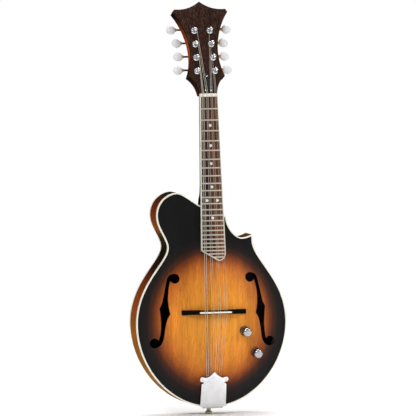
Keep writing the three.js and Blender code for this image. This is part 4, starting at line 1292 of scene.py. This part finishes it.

# %% [markdown]
# Strings loop over eight small hooks under the cover. The base's flange is screwed to the tail
# round the strap button, which is turned like a small cone and bored on to the end pin.

# %% Strap button and tail screws
TAIL_Z = 12.0
UPRIGHT = Matrix.Rotation(math.pi / 2, 4, "X")
button_profile = [
    (0, 0), (5.2, 0), (6, 0.8), (6, 2.2), (4.6, 3.6), (3.4, 5), (3.25, 6), (3.6, 7), (5, TAIL_Z - 2.1),
    (2.6, TAIL_Z - 2.1), (2.6, 33), (0, 35),
]
strap_button = ease(turned("strap_knob", button_profile, 48), 0.35, 3, 24)
finished(put(strap_button, UPRIGHT), nickel, "body", "nickel", "strap_button")
FLANGE_FACE = TAIL_Z - 0.3 - 1.4
for number, (x, y) in enumerate([(-7.6, -11), (7.6, -11), (0, 9)]):
    spot = Matrix.Translation((x, y, FLANGE_FACE)) @ Matrix.Rotation(math.pi / 2, 4, "X")
    screw(f"tail_screw_{number + 1}", spot, 0.9, nickel, "nickel")

# %% [markdown]
# ## Controls and jack
#
# Each knob is turned in brass, knurled and plated. The knurl is cut by insetting every second
# face of the side and pushing it in. The side takes a darker copy of the plating, painted shade
# for the fine grooves of the knurl, so it reads darker than the polished top. A dark washer
# lies under the knob. The jack is a turned bush with a six-sided nut on a round plate.

# %% Knobs
KNOB_RADIUS = 7.7
KNOB_HEIGHT = 16.0
KNURL_FACES = 72
SIDE_LIMIT = 0.45
knob_profile = [
    (4, 1.2), (6.5, 1.2), (KNOB_RADIUS, 1.7), (KNOB_RADIUS, 2.6), (KNOB_RADIUS - 0.25, 3.0),
    (KNOB_RADIUS - 0.25, 12.2), (KNOB_RADIUS, 12.6), (KNOB_RADIUS - 0.3, 13.6),
    (KNOB_RADIUS - 1.1, 14.9), (KNOB_RADIUS - 2.2, 15.6), (KNOB_RADIUS - 3.4, 15.9),
    (0, KNOB_HEIGHT), (0, 13), (3.15, 13), (3.15, 6), (4, 5),
]
for title, spot in KNOBS.items():
    knob = turned(f"{title}_knob_body", knob_profile, KNURL_FACES)
    bpy.ops.object.mode_set(mode="EDIT")
    bpy.ops.mesh.select_mode(type="FACE")
    bpy.ops.object.mode_set(mode="OBJECT")
    for face in knob.data.polygons:
        upright = abs(face.normal.y) < 0.1 and 6 < face.center.y < 9
        outer = math.hypot(face.center.x, face.center.z) > 6
        turn = math.atan2(face.center.x, face.center.z) / (2 * math.pi) * KNURL_FACES
        face.select = upright and outer and math.floor(turn) % 2 == 0
    bpy.ops.object.mode_set(mode="EDIT")
    bpy.ops.mesh.inset(thickness=0.08, depth=-0.35, use_individual=True)
    bpy.ops.object.mode_set(mode="OBJECT")
    ease(knob, 0.12, 2, 40)
    finished(put(knob, knob_place(*spot)), smoked, f"{title}_control", "chrome", f"{title}_knob")
    # The side faces take the darker copy of the plating: painted shade for the knurl.
    knob.data.materials.append(knurled)
    for face in knob.data.polygons:
        face.material_index = 1 if abs(face.normal.dot(KNOB_AXIS)) < SIDE_LIMIT else 0
    washer = turned(f"{title}_washer", [(3.7, -0.6), (8.1, -0.6), (8.1, 0.6), (7.7, 0.95), (3.7, 0.95)], 56)
    finished(put(washer, knob_place(*spot)), black_matte, "body", "black_plastic")
print("knobs", KNOB_RADIUS * 2, "mm across")

# %% Output jack
JACK_BORE = 3.3
jack_profile = [
    (0, -24), (6, -24), (6, 0.2), (10, 0.2), (10, 1.3), (9.4, 2.0), (6.9, 2.1), (4.9, 2.1),
    (4.9, 2.8), (4.4, 3.0), (JACK_BORE, 3.0), (JACK_BORE, -21), (0, -21),
]
jack = ease(turned("jack_bush", jack_profile, 48), 0.15, 2, 30)
finished(put(jack, JACK_PLACE), nickel, "body", "chrome", "output_jack")
begin()
bpy.ops.mesh.primitive_cylinder_add(
    vertices=6, radius=6.9, depth=1.6, rotation=(math.pi / 2, 0, 0), location=(0, 2.6, 0)
)
nut_blank = bpy.context.object
nut_blank.name = "jack_nut"
bpy.ops.object.transform_apply(location=True, rotation=True, scale=True)
carve(nut_blank, plug(4.95, -5, 9, 40))
finished(put(ease(nut_blank, 0.3, 2), JACK_PLACE), chrome, "body", "chrome")
print("jack bore", JACK_BORE * 2, "mm")

# %% [markdown]
# ## Tuners
#
# Each tuner has a post, a gear, a worm on the button's shaft and a button. The strings of one
# side share a long back plate. Post and gear turn together, and so do worm and button, so
# each set rides on its own body. One post, gear, ferrule and button are made on the bench,
# then copied to the eight places; each shaft is turned for its own place.

# %% Tuner places
TUNER_S = 38.5
TUNER_PITCH = 23.3
POST_X = [14.8, 14.2, 13.6, 13.2]
BUTTON_X = [41.6, 39.2, 39.6, 46.8]
WORM_RISE = 8.6
WORM_BACK = 21.0
POST_RADIUS = 3.0
POST_WAIST = 2.5
POST_TOP = 10.5
STRING_ON_POST = 6.2
GEAR_TEETH = 14
GEAR_RADIUS = 5.2
BUTTON_RADIUS = 7.8
tuners = [
    (side, sign, i + 1, sign * POST_X[i], TUNER_S + TUNER_PITCH * i, sign * BUTTON_X[i])
    for side, sign in (("bass", -1), ("treble", 1)) for i in range(len(POST_X))
]

# %% Tuner masters
post_profile = [
    (0, -POST_TOP), (2.2, -POST_TOP), (2.7, -POST_TOP + 0.25), (POST_RADIUS, -POST_TOP + 0.9),
    (POST_RADIUS, -8), (2.65, -7.2), (POST_WAIST, -6.6), (POST_WAIST, -5.6), (2.65, -5),
    (POST_RADIUS, -4.3), (POST_RADIUS, 17), (0, 17),
]
post_master = ease(turned("post_master", post_profile, 40), 0.12, 2, 30)
cross = block("cross", (-4, -11, -0.45), (4, -9.4, 0.45))
upright_cross = block("cross", (-0.45, -11, -4), (0.45, -9.4, 4))
carve(post_master, cross, upright_cross)
across_post = Matrix.Translation((0, -STRING_ON_POST, 0)) @ Matrix.Rotation(math.pi / 2, 4, "Z")
carve(post_master, put(plug(0.6, -5, 5, 12), across_post))

root = GEAR_RADIUS - 1
gear_points = []
for tooth in range(GEAR_TEETH):
    for share, radius in ((-0.3, root), (-0.14, GEAR_RADIUS), (0.14, GEAR_RADIUS), (0.3, root)):
        angle = 2 * math.pi * (tooth + share) / GEAR_TEETH
        gear_points.append(Vector((radius * math.cos(angle), 0, radius * math.sin(angle))))
gear_master = ease(slab("gear_master", gear_points, 17.9, 23.1), 0.15, 2, 50)
gear_cap = turned("cap", [(0, 22.8), (2.6, 22.8), (2.6, 23.6), (2.1, 24), (0, 24.0)], 32)
cap_slot = block("cap_slot", (-3, 23.5, -0.35), (3, 25, 0.35))
carve(gear_cap, cap_slot)
gear_master = joined("gear_master", gear_master, gear_cap)

ferrule_profile = [
    (3.25, 0.6), (3.25, -1.5), (3.6, -1.85), (4.3, -1.75), (4.9, -1.2), (5.6, -0.5), (5.8, -0.02),
    (5.8, 0.6),
]
ferrule_master = turned("ferrule_master", ferrule_profile, 48)
button_disc = [
    (0, -3.3), (2.9, -3.2), (5.1, -2.85), (6.7, -2.15), (7.5, -1.3), (BUTTON_RADIUS, -0.4),
    (BUTTON_RADIUS, 0.4), (7.5, 1.3), (6.7, 2.15), (5.1, 2.85), (2.9, 3.2), (0, 3.3),
]
disc_master = turned("disc_master", button_disc, 48)
print("gear with", GEAR_TEETH, "teeth")

# %% Tuner shafts
WORM_HALF = 3.9
WORM_THREADS = 5
COLLAR = 4.0
HEAD_BACKWARDS = HEAD.inverted()


def shaft_with_worm(name, reach):
    """The worm, its shaft and the collar in the button, along Y from the worm."""
    profile = [(0, -4.2), (1.6, -4.2), (1.6, -WORM_HALF)]
    pitch = 2 * WORM_HALF / WORM_THREADS
    for i in range(WORM_THREADS):
        low = -WORM_HALF + i * pitch
        profile += [(2.0, low + 0.1 * pitch), (2.6, low + 0.4 * pitch)]
        profile += [(2.6, low + 0.6 * pitch), (2.0, low + 0.9 * pitch)]
    neck_end = reach - BUTTON_RADIUS
    profile += [(1.6, WORM_HALF), (1.6, neck_end - 2.2), (2.1, neck_end - 1.8), (2.1, neck_end - 1.2)]
    profile += [(3.0, neck_end - 0.8), (3.0, neck_end + 0.4), (2.2, neck_end + 1.6), (0, neck_end + 1.6)]
    return turned(name, profile, 28)


for side, sign, number, x, s, button_x in tuners:
    post_body = f"tuner_post_{side}_{number}"
    button_body = f"tuner_button_{side}_{number}"
    at_post = HEAD @ Matrix.Translation((x, 0, s))
    post = copy_of(post_master, f"string_post_{side}_{number}", at_post)
    finished(post, chrome, post_body, "chrome", f"post_{side}_{number}")
    gear = copy_of(gear_master, f"gear_{side}_{number}", at_post)
    finished(gear, brass, post_body, "brass")
    ferrule = copy_of(ferrule_master, f"ferrule_{side}_{number}", at_post)
    finished(ferrule, chrome, "body", "chrome")

    reach = abs(button_x - x)
    at_worm = HEAD @ Matrix.Translation((x, WORM_BACK, s + WORM_RISE))
    along = at_worm @ Matrix.Rotation(-sign * math.pi / 2, 4, "Z")
    shaft = put(shaft_with_worm(f"worm_shaft_{side}_{number}", reach), along)
    finished(shaft, dark_metal, button_body, "brass")
    shaft.data.materials.append(brass)
    for face in shaft.data.polygons:
        collar = abs((HEAD_BACKWARDS @ (face.center / MM)).x - x) > reach - BUTTON_RADIUS - COLLAR
        face.material_index = 1 if collar else 0
    knob = Matrix.Translation((button_x, WORM_BACK, s + WORM_RISE))
    disc = copy_of(disc_master, f"button_disc_{side}_{number}", HEAD @ knob)
    finished(disc, pearloid, button_body, "pearl", f"button_{side}_{number}")
for master in (post_master, gear_master, ferrule_master, disc_master):
    bpy.data.objects.remove(master)
print("tuners:", len(tuners))

# %% [markdown]
# The back plate of each set is a long strip with round ends. Two ears stand up at each worm
# and hold its shaft, and small screws fix the strip to the wood.

# %% Tuner plates
PLATE_THICK = 1.4
PLATE_FRONT = HEAD_BACK + 0.1
PLATE_HALF = 5.5
span = TUNER_PITCH * (len(POST_X) - 1)
EAR_IN, EAR_OUT = 4.2, 5.6
EAR_HALF = 2.9
SHAFT_WAY = 1.9
POST_BORE = 3.3
for side, sign in (("bass", -1), ("treble", 1)):
    lean = math.atan2(sign * (POST_X[0] - POST_X[-1]), span)
    middle = Matrix.Translation((sign * (POST_X[0] + POST_X[-1]) / 2, 0, TUNER_S + span / 2))
    low, high = -span / 2 - 8, span / 2 + 15
    strip_path = pattern(
        f"M {PLATE_HALF} {low + 3} L {PLATE_HALF} {high - 3} C {PLATE_HALF} {high} {-PLATE_HALF} {high} "
        f"{-PLATE_HALF} {high - 3} L {-PLATE_HALF} {low + 3} C {-PLATE_HALF} {low} {PLATE_HALF} {low} "
        f"{PLATE_HALF} {low + 3}", step=1.5
    )
    plate = slab(f"tuner_strip_{side}", strip_path, PLATE_FRONT, PLATE_FRONT + PLATE_THICK)
    put(plate, middle @ Matrix.Rotation(-lean, 4, "Y"))
    own = [t for t in tuners if t[0] == side]
    for _, _, _, x, s, _ in own:
        for inner in (EAR_IN, -EAR_OUT):
            a, b = sorted((x + sign * inner, x + sign * (inner + EAR_OUT - EAR_IN)))
            low_s, high_s = s + WORM_RISE - EAR_HALF, s + WORM_RISE + EAR_HALF
            ear = block("ear", (a, PLATE_FRONT + 0.4, low_s), (b, WORM_BACK + EAR_HALF, high_s))
            ease(ear, 0.4, 2)
            carve(plate, ear, operation="UNION")
    for _, _, _, x, s, _ in own:
        along_worm = Matrix.Translation((x, WORM_BACK, s + WORM_RISE)) @ Matrix.Rotation(math.pi / 2, 4, "Z")
        way = put(plug(SHAFT_WAY, -12, 12, 24), along_worm)
        bore = put(plug(POST_BORE, 0, 30, 24), Matrix.Translation((x, 0, s)))
        carve(plate, way, bore)
    ease(plate, 0.15, 1, 60)
    finished(put(plate, HEAD), chrome, "body", "chrome", f"tuner_plate_{side}")
    for row in range(len(own) + 1):
        step = low + 3.4 if row == 0 else min(low + 8 + TUNER_PITCH * (row - 1) + 15, high - 1.9)
        spot = middle @ Matrix.Rotation(-lean, 4, "Y")
        spot = spot @ Matrix.Translation((0, PLATE_FRONT + PLATE_THICK, step))
        screw(f"plate_screw_{side}_{row + 1}", HEAD @ spot @ Matrix.Rotation(math.pi, 4, "X"), 0.8)
print("plates", round(span + 23), "mm long")

# %% [markdown]
# ## Strings
#
# Four pairs, from thick wound G strings to thin plain E strings. Each runs from its hook over
# the saddle and the nut to its post. On the post it takes a few turns, which belong to the
# post and turn with it.

# %% Strings
HOOK_PITCH = 3.0
BASE = Matrix.Translation((0, -24, 12.5)) @ Matrix.Rotation(COVER_SLOPE * 0.75, 4, "X")
BASE_PLATE = 1.3
TURNS = 2.5
for index in range(8):
    pair, twin = divmod(index, 2)
    note = "gdae"[pair]
    radius = STRING_RADII[note]
    side = "bass" if pair < 2 else "treble"
    number = index + 1 if pair < 2 else 8 - index
    _, _, _, post_x, post_s, _ = next(t for t in tuners if t[0] == side and t[2] == number)
    over_x = string_x(pair, twin, PAIR_PITCH_BRIDGE, PAIR_HALF_BRIDGE)
    nut_x = string_x(pair, twin, PAIR_PITCH_NUT, PAIR_HALF_NUT)
    crown = SADDLE_TOP - (over_x / SADDLE_HALF) ** 2
    inner = -math.copysign(1, post_x)
    hook = BASE @ Vector(((index - 3.5) * HOOK_PITCH, -BASE_PLATE - GAP - radius, 28.6))
    over = Vector((over_x, -HALF_DEPTH - crown - 0.05 - radius, BRIDGE_Z))
    nut_front = NECK @ Vector((nut_x, -1.9 - radius + 0.25, 1.2))
    nut_back = NECK @ Vector((nut_x, -1.8 - radius + 0.25, NUT_LENGTH))
    lift = POST_WAIST + radius
    post_side = HEAD @ Vector((post_x + inner * lift, -STRING_ON_POST, post_s))
    metal = wound if pair < 2 else plain_steel
    slot = "wound_string" if pair < 2 else "plain_string"
    node = f"string_{note}{twin + 1}"
    string = bend(f"wire_{note}{twin + 1}", [hook, over, nut_front, nut_back, post_side], radius)
    finished(string, metal, "body", slot, node)
    coil = []
    for i in range(round(TURNS * 24) + 1):
        angle = 2 * math.pi * i / 24
        climb = 2.1 * radius * i / 24
        coil.append(HEAD @ Vector((
            post_x + inner * lift * math.cos(angle), -STRING_ON_POST + climb, post_s + lift * math.sin(angle)
        )))
    winding = bend(f"winding_{note}{twin + 1}", coil, radius * 0.98, 3)
    finished(winding, metal, f"tuner_post_{side}_{number}", slot)
bpy.data.objects.remove(screw_master)
print("strings and windings:", 16)

# %% [markdown]
# ## What stays from the CAD model
#
# The pieces inside the box are seen only through the sound holes, and the riser and the
# tailpiece base have the right shape already. They keep their meshes and get their finishes.

# %% Finishes for CAD nodes
KEPT = {
    bare_wood: ["lining_top", "lining_back", "tail_block", "neck_block", "tone_bar_bass", "tone_bar_treble"],
    ebonised: ["fingerboard_riser"],
    nickel: ["tailpiece_base", "volume_pot", "tone_pot"],
    dark_metal: ["truss_rod"],
    brass: ["pickup_disc"],
    black_matte: ["pickup_lead", "jack_lead"],
    red_cover: ["pot_lead"],
}
for finish, nodes in KEPT.items():
    for node in nodes:
        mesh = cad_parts[node].data
        mesh.materials.clear()
        mesh.materials.append(finish)
print("CAD nodes kept:", sum(len(nodes) for nodes in KEPT.values()))
